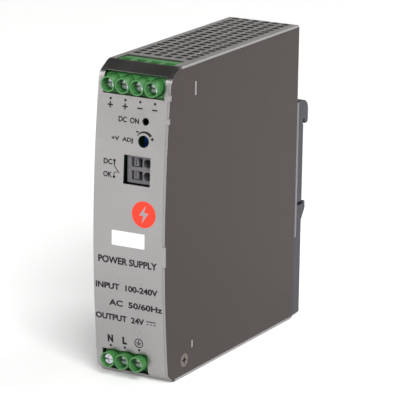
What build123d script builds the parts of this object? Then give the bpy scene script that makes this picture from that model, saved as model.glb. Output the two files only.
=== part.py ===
"""A slim power supply for a 35 mm mounting rail, built as an assembly of separate pieces.

The frame: +X is the right side seen from the front, -Y the front, +Z up.  The origin is below
the middle of the whole object, at its lowest level.  All sizes are in millimetres.
"""

from build123d import *
import math
import os

# ---------------------------------------------------------------- driving dimensions
# Case
case_width = 32.0
case_height = 124.0
case_depth = 104.4
sheet = 1.0
front_bow = 3.7
top_slope_height = 3.9
top_slope_depth = 6.8
bottom_slope_height = 3.5
bottom_slope_depth = 4.4
top_slope_bend = 4.0
bottom_slope_bend = 2.5
back_top_bend = 1.4
back_bottom_bend = 2.2
side_bend = 0.8
top_seam_room = 0.9
bottom_seam_room = 1.1
edge_softening = 0.2
seam_gap = 0.06
tongue_gap = 0.15

# Rail clip
rail_width = 35.0
rail_edge_thickness = 1.0
rail_centre_z = 64.7
rail_overlap = 1.0
rail_play = 1.0
rail_stand_off = 7.6
hook_reach = 4.0
hook_height = 8.0
hook_back_rounding = 4.4
hook_tip_rounding = 1.2
seat_relief = 0.4
clip_side_gap = 1.0
bracket_sheet = 1.2
bracket_depth = 3.6
bracket_bottom_z = 33.8
bracket_end_gap = 0.2
foot_bottom_z = 10.8
slide_gap = 0.15
foot_base_depth = 3.75
guide_width = 17.8
guide_lip = 1.0
guide_neck = 0.95
guide_head = 0.9
guide_bottom_z = 14.0
latch_travel = 4.0
latch_tooth_height = 7.9
latch_tooth_reach = 3.0
latch_tooth_crest = 4.74
latch_tail_bottom_z = 0.8
driver_slot_width = 8.0
driver_slot_height = 5.0
driver_slot_wall = 1.2
spring_bottom_z = 18.0
spring_top_z = 32.0
spring_depth = 4.2
spring_radius = 1.6
spring_wire = 0.6
spring_turns = 9
foot_screw_spacing = 16.0
foot_screw_offset = -0.7

# Screws
screw_radius = 1.5
thread_gap = 0.05
countersunk_head_radius = 2.85
countersunk_head_depth = 1.6
screw_hole_gap = 0.2
pressed_nut_wall = 1.3
pressed_nut_height = 2.0
drive_slot = 0.8

# Screw terminals
pole_pitch = 6.35
output_poles = 4
input_poles = 3
output_axis_below_top = 7.7
input_axis_z = 7.2
output_centre_x = -0.3
input_centre_x = -2.69
terminal_side_wall = 0.15
terminal_front = 1.0
terminal_back = 12.9
terminal_below_axis = 4.2
terminal_above_axis = 5.3
terminal_slope_start = 2.3
terminal_slope_depth = 4.2
tower_spacing = 0.25
tower_wall = 0.5
scallop_gap = 0.3
scallop_depth = 3.0
clamp_screw_gap = 0.4
clamp_screw_head = 1.8
clamp_screw_sink = 3.0
loose_screw_sink = 1.3
cage_spacing = 1.15
cage_height = 4.6
cage_front_wall = 1.4
cage_back_wall = 0.8
cage_length = 6.0
cage_side_wall = 0.7
cage_back = 12.1
cage_gap = 0.1
cage_travel = 2.4
contact_thickness = 0.8
contact_front = 7.8
contact_gap = 0.2
contact_tail_width = 1.2
contact_tail_level = 2.5
contact_tail_thickness = 0.7
wire_entry_spacing = 1.8
wire_entry_front = 7.9
wire_entry_back = 12.45
collar_gap = 0.3
collar_sink = 0.4
collar_back = 15.6
collar_board_gap = 0.2

# Openings in the case
opening_margin = 0.5
output_opening_over_slope = 0.65
output_opening_below_axis = 4.1
input_opening_above_axis = 3.6
input_opening_bottom_z = 2.2
wire_opening_back = 17.0
wire_opening_front_margin = 0.4
led_x = 5.97
led_below_top = 20.7
led_hole_radius = 1.45
trimmer_x = 5.47
trimmer_below_top = 28.4
trimmer_hole_radius = 2.35
window_left_x = -2.76
window_right_x = 8.9
window_below_centre = 6.0
window_above_centre = 5.3
vent_hole = 3.3
vent_corner = 0.8
vent_columns = 6
vent_rows = 19
vent_border_x = 2.95
vent_border_back = 1.75
vent_border_front = 3.0

# Side plate fixing
upper_tab_depths_below_top = ((12.0, 9.8), (20.8, 18.6))
middle_tab_below_bow_middle = (14.0, 6.0)
lug_thickness = 1.0
lug_front = 8.0
lug_back = 21.0
upper_lug_front = 15.5
lower_lug_top_z = 15.0
upper_lug_height = 15.5
tongue_offset = 18.9
tongue_width = 1.2
upper_tongue_below_top = (13.1, 7.6)
lower_tongue_span = (10.3, 13.3)
cover_screw_offset = 12.7
cover_screw_z = 6.8
cover_screw_length = 5.0

# Circuit boards
board = 1.6
front_board_gap = 0.1
front_board_side_gap = 0.6
output_board_height = 46.4
output_board_below_top = 1.6
input_board_bottom_z = 1.8
input_board_top_z = 32.0
input_board_side_room = 4.6
main_board_cover_room = 3.6
main_board_front = 15.25
main_board_margin = 0.85
main_board_edge_z = 2.2
insulator = 0.4
insulator_cover_room = 0.8
insulator_front = 22.5

# Indicator, trimmer and signal terminal
led_radius = 1.5
led_flange_radius = 1.9
led_depth = 8.5
trimmer_size = 8.4
trimmer_front = 5.6
rotor_radius = 1.8
rotor_proud = 0.6
rotor_depth = 1.2
rotor_slot = 0.6
signal_pitch = 5.08
signal_below_top = 39.6
signal_left_x = -1.9
signal_right_x = 10.5
signal_height = 11.2
signal_panel_gap = 0.2
signal_recess_left_x = -0.1
signal_recess_right_x = 4.75
signal_recess_height = 3.6
signal_recess_depth = 7.0
button_left_x = 0.6
button_right_x = 2.7
button_height = 3.3
button_gap = 0.12
button_sink = 0.4
button_travel = 1.5
button_slot = 0.4
signal_wire_x = 6.85
signal_wire_radius = 1.75
signal_clip_front = 8.4
signal_clip_room = 3.8
signal_clip_strip = 0.4

# What stands on the boards; its places in depth are shares of the case's depth
pillar_flats = 5.5
pillar_screw_length = 6.0
front_pillar_inset = 22.15
front_pillar_z = 60.0
back_pillar_inset = 10.25
back_pillar_below_top = 14.0
part_gap = 0.6
bulk_can_place = (0.404, 30.0)
bulk_can_radius = 9.0
bulk_can_length = 36.0
output_can_shares = (0.346, 0.471)
output_can_bottom_z = 82.0
output_can_radius = 5.0
output_can_length = 22.0
input_choke_place = (0.365, 15.0)
input_choke_radius = 9.0
output_choke_place = (0.71, 92.0)
output_choke_radius = 9.5
choke_hole_radius = 4.0
choke_width = 11.0
filter_span = (0.5, 0.586)
filter_height_span = (6.0, 24.0)
filter_width = 16.4
filter_rounding = 0.8
rectifier_span = (0.653, 0.687)
rectifier_height_span = (5.0, 27.0)
rectifier_width = 19.4
rectifier_rounding = 0.6
fuse_share = 0.203
fuse_height_span = (8.0, 28.0)
fuse_radius = 2.5
fuse_cap_length = 5.0
fuse_cap_wall = 0.2
core_span = (0.624, 0.892)
core_height_span = (42.0, 70.0)
core_width = 18.0
core_board_room = 3.4
core_leg = 5.0
winding_gap = 0.2
spreader_sheet = 2.0
spreader_span = (0.653, 0.94)
spreader_height_span = (28.0, 100.0)
spreader_lip = 9.0
relay_left_room = 2.0
relay_width = 10.0
relay_height_span = (80.0, 95.0)

# ---------------------------------------------------------------- places worked out from them
half_width = case_width / 2
whole_depth = front_bow + case_depth + rail_stand_off + hook_reach
front_y = front_bow - whole_depth / 2
back_y = front_y + case_depth
slope_top_z = case_height - top_slope_height
bow_middle_z = (bottom_slope_height + slope_top_z) / 2
bow_half_chord = bow_middle_z - bottom_slope_height
bow_radius = (bow_half_chord**2 + front_bow**2) / (2 * front_bow)
top_seam = top_slope_depth + top_seam_room
bottom_seam = bottom_slope_depth + bottom_seam_room
cover_x = half_width - sheet
lug_right_x = cover_x - seam_gap
clip_half = half_width - clip_side_gap
rail_top_z = rail_centre_z + rail_width / 2
rail_bottom_z = rail_centre_z - rail_width / 2
foot_top_z = rail_top_z + rail_play + hook_height
latch_top_z = rail_bottom_z + rail_overlap
latch_tooth_bottom_z = latch_top_z - latch_tooth_height
foot_screw_middle_z = rail_centre_z + foot_screw_offset
foot_screw_zs = (foot_screw_middle_z + foot_screw_spacing / 2,
                 foot_screw_middle_z - foot_screw_spacing / 2)
tower_radius = (pole_pitch - tower_spacing) / 2
tower_bore_radius = tower_radius - tower_wall
clamp_screw_radius = tower_bore_radius - clamp_screw_gap
cage_width = pole_pitch - cage_spacing
contact_width = cage_width - 2 * (cage_side_wall + contact_gap)
clamp_shank_radius = contact_width / 2 - contact_gap
cage_room_front = cage_back - cage_length - cage_travel - cage_gap
wire_entry_width = pole_pitch - wire_entry_spacing
output_axis_z = case_height - output_axis_below_top
led_z = case_height - led_below_top
trimmer_z = case_height - trimmer_below_top
signal_centre_z = case_height - signal_below_top
upper_tongue_span = tuple(case_height - below for below in upper_tongue_below_top)
middle_tab_span = tuple(bow_middle_z - below for below in middle_tab_below_bow_middle)
front_tab_spans = (
    *(tuple(case_height - below for below in tab) for tab in upper_tab_depths_below_top),
    middle_tab_span,
)
front_board = terminal_back + front_board_gap
board_side_x = half_width - sheet - front_board_side_gap
output_board_top_z = case_height - output_board_below_top
main_board_x = cover_x - main_board_cover_room
insulator_x = cover_x - insulator_cover_room
pillar_places = (
    (front_y + front_pillar_inset, front_pillar_z),
    (back_y - back_pillar_inset, case_height - back_pillar_below_top),
)

os.makedirs("parts", exist_ok=True)
written_nodes = []


# ---------------------------------------------------------------- helpers
def save(shape, node):
    """Labels one finished piece and writes it under its node's name."""
    shape.label = node
    export_step(shape, f"parts/{node}.step")
    written_nodes.append(node)


def facing_front(depth):
    """A plane that looks out of the front, this far behind the case's front edge."""
    return Plane.XZ.offset(-(front_y + depth))


def facing_back(depth):
    """A plane that looks out of the back, this far behind the case's back."""
    return Plane(origin=(0, back_y + depth, 0), x_dir=(-1, 0, 0), z_dir=(0, 1, 0))


def block(x_span, y_span, z_span, mode=Mode.ADD):
    """Adds or cuts a rectangular block, given its two ends along each axis."""
    spans = (x_span, y_span, z_span)
    middle = tuple((low + high) / 2 for low, high in spans)
    size = tuple(abs(high - low) for low, high in spans)
    with Locations(middle):
        Box(*size, mode=mode)


def depth_span(front, back):
    """Two depths behind the case's front edge, as places along Y."""
    return (front_y + front, front_y + back)


def share_y(share):
    """The place along Y at a share of the case's depth."""
    return front_y + share * case_depth


def share_span(shares):
    """Two shares of the case's depth, as places along Y."""
    return (share_y(shares[0]), share_y(shares[1]))


def behind_case(near, far):
    """Two distances behind the case's back, as places along Y."""
    return (back_y + near, back_y + far)


def bow_depth(z):
    """How far the bowed front stands ahead of its own top and bottom edges at this height."""
    return math.sqrt(bow_radius**2 - (z - bow_middle_z) ** 2) - (bow_radius - front_bow)


signal_front = sheet + signal_panel_gap - bow_depth(signal_centre_z + signal_height / 2)


def pole_xs(centre_x, poles):
    """The places of a terminal block's poles, left to right."""
    first = centre_x - pole_pitch * (poles - 1) / 2
    return [first + pole_pitch * pole for pole in range(poles)]


def side_outline(inset=0.0):
    """The case seen from its right side, as a flat face with Y across and Z up."""
    low_edge = (front_y, bottom_slope_height)
    high_edge = (front_y, case_height - top_slope_height)
    top_front = (front_y + top_slope_depth, case_height)
    top_back = (back_y, case_height)
    bottom_back = (back_y, 0)
    bottom_front = (front_y + bottom_slope_depth, 0)
    bends = (
        (high_edge, top_slope_bend),
        (top_front, top_slope_bend),
        (top_back, back_top_bend),
        (bottom_back, back_bottom_bend),
        (bottom_front, bottom_slope_bend),
        (low_edge, bottom_slope_bend),
    )
    with BuildSketch() as outline:
        with BuildLine():
            ThreePointArc(low_edge, (front_y - front_bow, bow_middle_z), high_edge)
            Polyline(high_edge, top_front, top_back, bottom_back, bottom_front, low_edge)
        make_face()
        for corner, radius in bends:
            fillet(outline.vertices().sort_by_distance((*corner, 0))[0], radius)
        if inset > 0:
            offset(amount=-inset, mode=Mode.REPLACE)
    return outline.sketch


def vent_grid(first_depth, columns, rows, row_pitch, column_pitch):
    """Cut-outs for a panel's vent holes, the first row at this depth behind the front."""
    middle_y = front_y + first_depth + row_pitch * (rows - 1) / 2
    with Locations((0, middle_y)):
        with GridLocations(column_pitch, row_pitch, columns, rows):
            RectangleRounded(vent_hole, vent_hole, vent_corner)


# ---------------------------------------------------------------- case
def make_chassis():
    """The folded box: left wall, bowed front with its sloping ends, top, bottom and back."""
    outer = side_outline()
    inner = side_outline(sheet)
    front_right_x = cover_x - seam_gap
    output_half = pole_pitch * output_poles / 2 + terminal_side_wall + opening_margin
    input_half = pole_pitch * input_poles / 2 + terminal_side_wall
    column_pitch = (case_width - 2 * vent_border_x - vent_hole) / (vent_columns - 1)
    top_first = wire_opening_back + vent_border_front + vent_hole / 2
    last = case_depth - vent_border_back - vent_hole / 2
    row_pitch = (last - top_first) / (vent_rows - 1)
    with BuildPart() as chassis:
        with BuildSketch(Plane.YZ.offset(-half_width)):
            add(outer)
        extrude(amount=sheet)
        # the band that goes all round, up to the side plate
        with BuildSketch(Plane.YZ.offset(sheet - half_width)):
            add(outer)
            add(inner, mode=Mode.SUBTRACT)
        extrude(amount=front_right_x - (sheet - half_width))
        # top and bottom run on over the edges of the side plate
        with BuildSketch(Plane.YZ.offset(front_right_x)):
            add(outer)
            add(inner, mode=Mode.SUBTRACT)
            with Locations((front_y + top_seam, case_height)):
                Rectangle(
                    case_depth, sheet, align=(Align.MIN, Align.MAX), mode=Mode.INTERSECT
                )
        extrude(amount=half_width - front_right_x)
        with BuildSketch(Plane.YZ.offset(front_right_x)):
            add(outer)
            add(inner, mode=Mode.SUBTRACT)
            with Locations((front_y + bottom_seam, 0)):
                Rectangle(
                    case_depth, sheet, align=(Align.MIN, Align.MIN), mode=Mode.INTERSECT
                )
        extrude(amount=half_width - front_right_x)
        # small tabs of the front that lock into the side plate
        for low_z, high_z in front_tab_spans:
            with BuildSketch(Plane.YZ.offset(front_right_x)):
                add(outer)
                add(inner, mode=Mode.SUBTRACT)
                with Locations((front_y, (low_z + high_z) / 2)):
                    Rectangle(4 * front_bow, high_z - low_z, mode=Mode.INTERSECT)
            extrude(amount=sheet)
        # bend radius all round the left side
        fillet(chassis.faces().sort_by(Axis.X)[0].outer_wire().edges(), side_bend)
        # fixing lugs inside the right edge, with tongues that locate the side plate
        lug_x = (lug_right_x - lug_thickness, lug_right_x)
        tongue_x = (lug_right_x, half_width - seam_gap)
        tongue_y = depth_span(tongue_offset - tongue_width / 2, tongue_offset + tongue_width / 2)
        block(lug_x, depth_span(lug_front, lug_back), (sheet / 2, lower_lug_top_z))
        block(tongue_x, tongue_y, lower_tongue_span)
        upper_lug_z = (case_height - upper_lug_height, case_height - sheet / 2)
        block(lug_x, depth_span(upper_lug_front, lug_back), upper_lug_z)
        block(tongue_x, tongue_y, upper_tongue_span)
        with BuildSketch(Plane.YZ.offset(lug_x[0])):
            with Locations((front_y + cover_screw_offset, cover_screw_z)):
                Circle(screw_radius + thread_gap)
        extrude(amount=lug_thickness, mode=Mode.SUBTRACT)
        # openings for the terminal screws, with the wire entries above and below
        output_x = (-output_half, output_half)
        output_z = (output_axis_z - output_opening_below_axis,
                    slope_top_z + output_opening_over_slope)
        input_z = (input_opening_bottom_z, input_axis_z + input_opening_above_axis)
        input_x = (input_centre_x - input_half - opening_margin,
                   input_centre_x + input_half + terminal_side_wall)
        reach = depth_span(-front_bow, top_slope_depth / 2)
        block(output_x, reach, output_z, Mode.SUBTRACT)
        block(input_x, reach, input_z, Mode.SUBTRACT)
        wire_y = depth_span(top_slope_depth + wire_opening_front_margin, wire_opening_back)
        wire_half = pole_pitch * output_poles / 2
        wire_x = (output_centre_x - wire_half, output_centre_x + wire_half)
        block(wire_x, wire_y, (case_height - 2 * sheet, case_height + sheet), Mode.SUBTRACT)
        block(input_x, wire_y, (-sheet, 2 * sheet), Mode.SUBTRACT)
        # round holes for the indicator and the trimmer, and the signal terminal's window
        with BuildSketch(facing_front(0)):
            with Locations((led_x, led_z)):
                Circle(led_hole_radius)
            with Locations((trimmer_x, trimmer_z)):
                Circle(trimmer_hole_radius)
        extrude(amount=front_bow + sheet, mode=Mode.SUBTRACT)
        block(
            (window_left_x, window_right_x),
            depth_span(-front_bow - sheet, 0),
            (signal_centre_z - window_below_centre, signal_centre_z + window_above_centre),
            Mode.SUBTRACT,
        )
        # vent holes
        with BuildSketch(Plane.XY.offset(case_height - 2 * sheet)):
            vent_grid(top_first, vent_columns, vent_rows, row_pitch, column_pitch)
        extrude(amount=3 * sheet, mode=Mode.SUBTRACT)
        with BuildSketch(Plane.XY.offset(-sheet)):
            vent_grid(top_first + row_pitch, vent_columns, vent_rows - 2, row_pitch, column_pitch)
        extrude(amount=3 * sheet, mode=Mode.SUBTRACT)
        # nuts pressed into the back for the rail clip
        with BuildSketch(facing_back(-sheet)):
            for z in foot_screw_zs:
                with Locations((0, z)):
                    Circle(screw_radius + pressed_nut_wall)
        extrude(amount=-pressed_nut_height)
        with BuildSketch(facing_back(0)):
            for z in foot_screw_zs:
                with Locations((0, z)):
                    Circle(screw_radius + thread_gap)
        extrude(amount=-(sheet + 2 * pressed_nut_height), mode=Mode.SUBTRACT)
        # countersunk holes in the left wall for the board's pillars
        for y, z in pillar_places:
            with Locations(Plane(origin=(-half_width, y, z), z_dir=(-1, 0, 0))):
                CounterSinkHole(screw_radius + screw_hole_gap, countersunk_head_radius, sheet)
    return chassis.part


def make_side_plate():
    """The flat right side, which sits between top and bottom and carries the tab notches."""
    with BuildPart() as plate:
        with BuildSketch(Plane.YZ.offset(cover_x)):
            add(side_outline())
            with Locations((front_y + top_seam - seam_gap, case_height + sheet)):
                Rectangle(
                    2 * case_depth, 2 * sheet + seam_gap,
                    align=(Align.MIN, Align.MAX), mode=Mode.SUBTRACT,
                )
            with Locations((front_y + bottom_seam - seam_gap, -sheet)):
                Rectangle(
                    2 * case_depth, 2 * sheet + seam_gap,
                    align=(Align.MIN, Align.MIN), mode=Mode.SUBTRACT,
                )
        extrude(amount=sheet)
        bow_edges = plate.edges().filter_by(GeomType.CIRCLE).sort_by(SortBy.RADIUS)[-2:]
        fillet(bow_edges.sort_by(Axis.X)[-1], edge_softening)
        for low_z, high_z in front_tab_spans:
            with BuildSketch(Plane.YZ.offset(cover_x)):
                add(side_outline())
                add(side_outline(sheet + tongue_gap), mode=Mode.SUBTRACT)
                with Locations((front_y, (low_z + high_z) / 2)):
                    notch = high_z - low_z + 2 * tongue_gap
                    Rectangle(4 * front_bow, notch, mode=Mode.INTERSECT)
            extrude(amount=sheet, mode=Mode.SUBTRACT)
        for low_z, high_z in (upper_tongue_span, lower_tongue_span):
            slot = tongue_width / 2 + tongue_gap
            slot_y = depth_span(tongue_offset - slot, tongue_offset + slot)
            slot_z = (low_z - tongue_gap, high_z + tongue_gap)
            block((cover_x - sheet, half_width + sheet), slot_y, slot_z, Mode.SUBTRACT)
        screw_place = (half_width, front_y + cover_screw_offset, cover_screw_z)
        with Locations(Plane(origin=screw_place, z_dir=(1, 0, 0))):
            CounterSinkHole(screw_radius + screw_hole_gap, countersunk_head_radius, sheet)
    return plate.part


def make_countersunk_screw(head_place, outward, length):
    """A countersunk screw with a cross recess, its head flush at the given place."""
    top = Plane(origin=head_place, z_dir=outward)
    with BuildPart() as screw:
        with BuildSketch(top):
            Circle(countersunk_head_radius - screw_hole_gap / 2)
        with BuildSketch(top.offset(seam_gap - sheet)):
            Circle(screw_radius)
        loft()
        with BuildSketch(top):
            Circle(screw_radius)
        extrude(amount=-length)
        with BuildSketch(top):
            Rectangle(2 * screw_radius, drive_slot)
            Rectangle(drive_slot, 2 * screw_radius)
        extrude(amount=-countersunk_head_depth / 2, mode=Mode.SUBTRACT)
    return screw.part


# ---------------------------------------------------------------- screw terminals
def make_terminal_housing(centre_x, poles, axis_z, wire_side):
    """A moulded block with one screw tower per pole; wire_side is 1 for wires from above."""
    half = pole_pitch * poles / 2 + terminal_side_wall
    outside = case_height if wire_side > 0 else 0
    board_edge = output_board_top_z if wire_side > 0 else input_board_bottom_z
    collar_end = outside - wire_side * collar_sink
    columns = pole_xs(centre_x, poles)
    places = [(x, axis_z) for x in columns]
    profile = (
        (terminal_front, -terminal_below_axis),
        (terminal_back, -terminal_below_axis),
        (terminal_back, terminal_above_axis),
        (terminal_front + terminal_slope_depth, terminal_above_axis),
        (terminal_front, terminal_slope_start),
    )
    points = [(front_y + depth, axis_z + wire_side * up) for depth, up in profile]
    with BuildPart() as housing:
        with BuildSketch(Plane.YZ.offset(centre_x - half)):
            with BuildLine():
                Polyline(*points, close=True)
            make_face()
        extrude(amount=2 * half)
        # a collar round the wire entries fills the case's opening and laps over the board
        collar_front = top_slope_depth + wire_opening_front_margin + collar_gap
        collar_half = pole_pitch * poles / 2 - collar_gap
        collar_x = (centre_x - collar_half, centre_x + collar_half)
        block(collar_x, depth_span(collar_front, terminal_back), (axis_z, collar_end))
        block(collar_x, depth_span(collar_front, collar_back),
              (board_edge + wire_side * collar_board_gap, collar_end))
        # the front is scooped out round each tower
        with BuildSketch(facing_front(scallop_depth)):
            with Locations(*places):
                Circle(tower_radius + scallop_gap)
        extrude(amount=scallop_depth + front_bow, mode=Mode.SUBTRACT)
        with BuildSketch(facing_front(scallop_depth)):
            with Locations(*places):
                Circle(tower_radius)
        extrude(amount=scallop_depth + front_bow)
        # screw head bore, then the closer hole for the shank
        head_seat = clamp_screw_sink - front_bow + clamp_screw_head
        with BuildSketch(facing_front(head_seat)):
            with Locations(*places):
                Circle(tower_bore_radius)
        extrude(amount=head_seat + front_bow, mode=Mode.SUBTRACT)
        with BuildSketch(facing_front(cage_room_front)):
            with Locations(*places):
                Circle(clamp_shank_radius + thread_gap)
        extrude(amount=cage_room_front + front_bow, mode=Mode.SUBTRACT)
        for x in columns:
            room_x = (x - cage_width / 2 - cage_gap, x + cage_width / 2 + cage_gap)
            room_low = contact_tail_level + contact_tail_thickness + cage_gap
            room_high = cage_height / 2 + 2 * cage_gap
            room_z = (axis_z - wire_side * room_low, axis_z + wire_side * room_high)
            block(room_x, depth_span(cage_room_front, cage_back + cage_gap), room_z, Mode.SUBTRACT)
            entry_x = (x - wire_entry_width / 2, x + wire_entry_width / 2)
            entry_z = (axis_z, outside)
            entry_y = depth_span(wire_entry_front, wire_entry_back)
            block(entry_x, entry_y, entry_z, Mode.SUBTRACT)
            tail_x = (x - contact_tail_width / 2 - cage_gap, x + contact_tail_width / 2 + cage_gap)
            tail_z = (
                axis_z - wire_side * (contact_tail_level - cage_gap),
                axis_z - wire_side * (contact_tail_level + contact_tail_thickness + cage_gap),
            )
            block(tail_x, depth_span(cage_back, terminal_back + sheet), tail_z, Mode.SUBTRACT)
    return housing.part


def make_clamp_screw(x, z, sink):
    """A terminal screw with a slot and cross recess, its head this far inside its tower."""
    head_front = sink - front_bow
    head_back = head_front + clamp_screw_head
    shank_end = contact_front - contact_gap - (clamp_screw_sink - sink)
    with BuildPart() as screw:
        with BuildSketch(facing_front(head_back)):
            with Locations((x, z)):
                Circle(clamp_screw_radius)
        extrude(amount=clamp_screw_head)
        chamfer(screw.faces().sort_by(Axis.Y)[0].edges(), edge_softening)
        with BuildSketch(facing_front(head_back)):
            with Locations((x, z)):
                Circle(clamp_shank_radius)
        extrude(amount=head_back - shank_end)
        with BuildSketch(facing_front(head_front)):
            with Locations((x, z)):
                Rectangle(2 * clamp_screw_radius, drive_slot)
                Rectangle(drive_slot, 2 * clamp_shank_radius)
        extrude(amount=-clamp_screw_head / 2, mode=Mode.SUBTRACT)
    return screw.part


def make_cage(x, z):
    """The square clamping loop that a terminal screw draws forwards onto the wire."""
    front = cage_back - cage_length
    with BuildPart() as cage:
        block(
            (x - cage_width / 2, x + cage_width / 2),
            depth_span(front, cage_back),
            (z - cage_height / 2, z + cage_height / 2),
        )
        block(
            (x - cage_width / 2 + cage_side_wall, x + cage_width / 2 - cage_side_wall),
            depth_span(front + cage_front_wall, cage_back - cage_back_wall),
            (z - cage_height, z + cage_height),
            Mode.SUBTRACT,
        )
        with BuildSketch(facing_front(front + cage_front_wall)):
            with Locations((x, z)):
                Circle(clamp_shank_radius + thread_gap)
        extrude(amount=2 * cage_front_wall, mode=Mode.SUBTRACT)
    return cage.part


def make_contact(x, z, wire_side):
    """The fixed bar inside a cage, with a tail that is soldered into the board behind."""
    bar_z = (
        z + wire_side * (cage_height / 2 - cage_gap),
        z - wire_side * (contact_tail_level + contact_tail_thickness),
    )
    tail_z = (bar_z[1], z - wire_side * contact_tail_level)
    with BuildPart() as contact:
        block(
            (x - contact_width / 2, x + contact_width / 2),
            depth_span(contact_front, contact_front + contact_thickness),
            bar_z,
        )
        block(
            (x - contact_tail_width / 2, x + contact_tail_width / 2),
            depth_span(contact_front, front_board + 1.5 * board),
            tail_z,
        )
    return contact.part


# ---------------------------------------------------------------- boards
def cut_contact_holes(centre_x, poles, axis_z, wire_side):
    """Cuts the solder holes of one terminal block through the board being made."""
    low = axis_z - wire_side * (contact_tail_level - cage_gap)
    high = axis_z - wire_side * (contact_tail_level + contact_tail_thickness + cage_gap)
    for x in pole_xs(centre_x, poles):
        side = contact_tail_width / 2 + cage_gap
        depths = depth_span(front_board - board, front_board + 2 * board)
        block((x - side, x + side), depths, (low, high), Mode.SUBTRACT)


def make_output_board():
    """The upright board behind the front, with the output side's terminals."""
    with BuildPart() as plate:
        block(
            (-board_side_x, board_side_x - lug_thickness),
            depth_span(front_board, front_board + board),
            (output_board_top_z - output_board_height, output_board_top_z),
        )
        cut_contact_holes(output_centre_x, output_poles, output_axis_z, 1)
    return plate.part


def make_input_board():
    """The small upright board behind the input terminals."""
    with BuildPart() as plate:
        block(
            (-board_side_x, cover_x - input_board_side_room),
            depth_span(front_board, front_board + board),
            (input_board_bottom_z, input_board_top_z),
        )
        cut_contact_holes(input_centre_x, input_poles, input_axis_z, -1)
    return plate.part


def make_main_board():
    """The large board along the right side, drilled for its two pillars."""
    with BuildPart() as plate:
        block(
            (main_board_x, main_board_x + board),
            (front_y + main_board_front, back_y - sheet - main_board_margin),
            (main_board_edge_z, case_height - main_board_edge_z),
        )
        with BuildSketch(Plane.YZ.offset(main_board_x)):
            with Locations(*pillar_places):
                Circle(screw_radius + screw_hole_gap)
        extrude(amount=board, mode=Mode.SUBTRACT)
    return plate.part


def make_insulating_sheet():
    """A thin film between the main board's solder side and the side plate."""
    with BuildPart() as film:
        block(
            (insulator_x, insulator_x + insulator),
            (front_y + insulator_front, back_y - sheet - main_board_margin),
            (main_board_edge_z, case_height - main_board_edge_z),
        )
    return film.part


def make_pillar(y, z):
    """A hexagonal pillar from the left wall to the main board."""
    left_x = sheet - half_width
    with BuildPart() as pillar:
        with BuildSketch(Plane.YZ.offset(left_x)):
            with Locations((y, z)):
                RegularPolygon(pillar_flats / 2, 6, major_radius=False)
        extrude(amount=main_board_x - left_x)
        with BuildSketch(Plane.YZ.offset(left_x)):
            with Locations((y, z)):
                Circle(screw_radius + thread_gap)
        extrude(amount=pillar_screw_length, mode=Mode.SUBTRACT)
    return pillar.part


# ---------------------------------------------------------------- indicator, trimmer, signals
def make_indicator():
    """The indicator lamp: a domed body on a flange, standing on the output board."""
    with BuildPart() as lamp:
        with BuildSketch(facing_front(front_board)):
            with Locations((led_x, led_z)):
                Circle(led_flange_radius)
        extrude(amount=sheet)
        with BuildSketch(facing_front(front_board)):
            with Locations((led_x, led_z)):
                Circle(led_radius)
        extrude(amount=led_depth - led_radius)
        dome_y = front_y + front_board - led_depth + led_radius
        with Locations((led_x, dome_y, led_z)):
            Sphere(led_radius)
    return lamp.part


def make_trimmer_body():
    """The trimmer's square body with a round well for its rotor."""
    half = trimmer_size / 2
    with BuildPart() as body:
        block(
            (trimmer_x - half, trimmer_x + half),
            depth_span(trimmer_front, front_board),
            (trimmer_z - half, trimmer_z + half),
        )
        fillet(body.edges().filter_by(Axis.Y), 2 * edge_softening)
        with BuildSketch(facing_front(trimmer_front + rotor_depth)):
            with Locations((trimmer_x, trimmer_z)):
                Circle(rotor_radius + thread_gap)
        extrude(amount=rotor_depth, mode=Mode.SUBTRACT)
    return body.part


def make_trimmer_rotor():
    """The trimmer's turning disc, slotted for a small screwdriver."""
    with BuildPart() as rotor:
        with BuildSketch(facing_front(trimmer_front + rotor_depth)):
            with Locations((trimmer_x, trimmer_z)):
                Circle(rotor_radius)
        extrude(amount=rotor_depth + rotor_proud)
        chamfer(rotor.faces().sort_by(Axis.Y)[0].edges(), edge_softening)
        with BuildSketch(facing_front(trimmer_front - rotor_proud)):
            with Locations((trimmer_x, trimmer_z)):
                Rectangle(2 * rotor_radius, rotor_slot)
        extrude(amount=-rotor_depth, mode=Mode.SUBTRACT)
    return rotor.part


def signal_rows():
    """The heights of the two signal poles, upper one first."""
    return (signal_centre_z + signal_pitch / 2, signal_centre_z - signal_pitch / 2)


def make_signal_housing():
    """The push-in terminal's body: a recess with its button, and a wire hole, in each row."""
    with BuildPart() as housing:
        block(
            (signal_left_x, signal_right_x),
            depth_span(signal_front, front_board),
            (signal_centre_z - signal_height / 2, signal_centre_z + signal_height / 2),
        )
        for z in signal_rows():
            half = signal_recess_height / 2
            block(
                (signal_recess_left_x, signal_recess_right_x),
                depth_span(signal_front, signal_front + signal_recess_depth),
                (z - half, z + half),
                Mode.SUBTRACT,
            )
            guide_half = button_height / 2 + button_gap
            block(
                (button_left_x - button_gap, button_right_x + button_gap),
                depth_span(signal_front, signal_clip_front),
                (z - guide_half, z + guide_half),
                Mode.SUBTRACT,
            )
            block(
                (button_left_x - button_gap, signal_wire_x + signal_wire_radius),
                depth_span(signal_clip_front, signal_clip_front + signal_clip_room),
                (z - guide_half, z + guide_half),
                Mode.SUBTRACT,
            )
            with BuildSketch(facing_front(signal_clip_front)):
                with Locations((signal_wire_x, z)):
                    Circle(signal_wire_radius)
            extrude(amount=signal_clip_front - signal_front, mode=Mode.SUBTRACT)
    return housing.part


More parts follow.
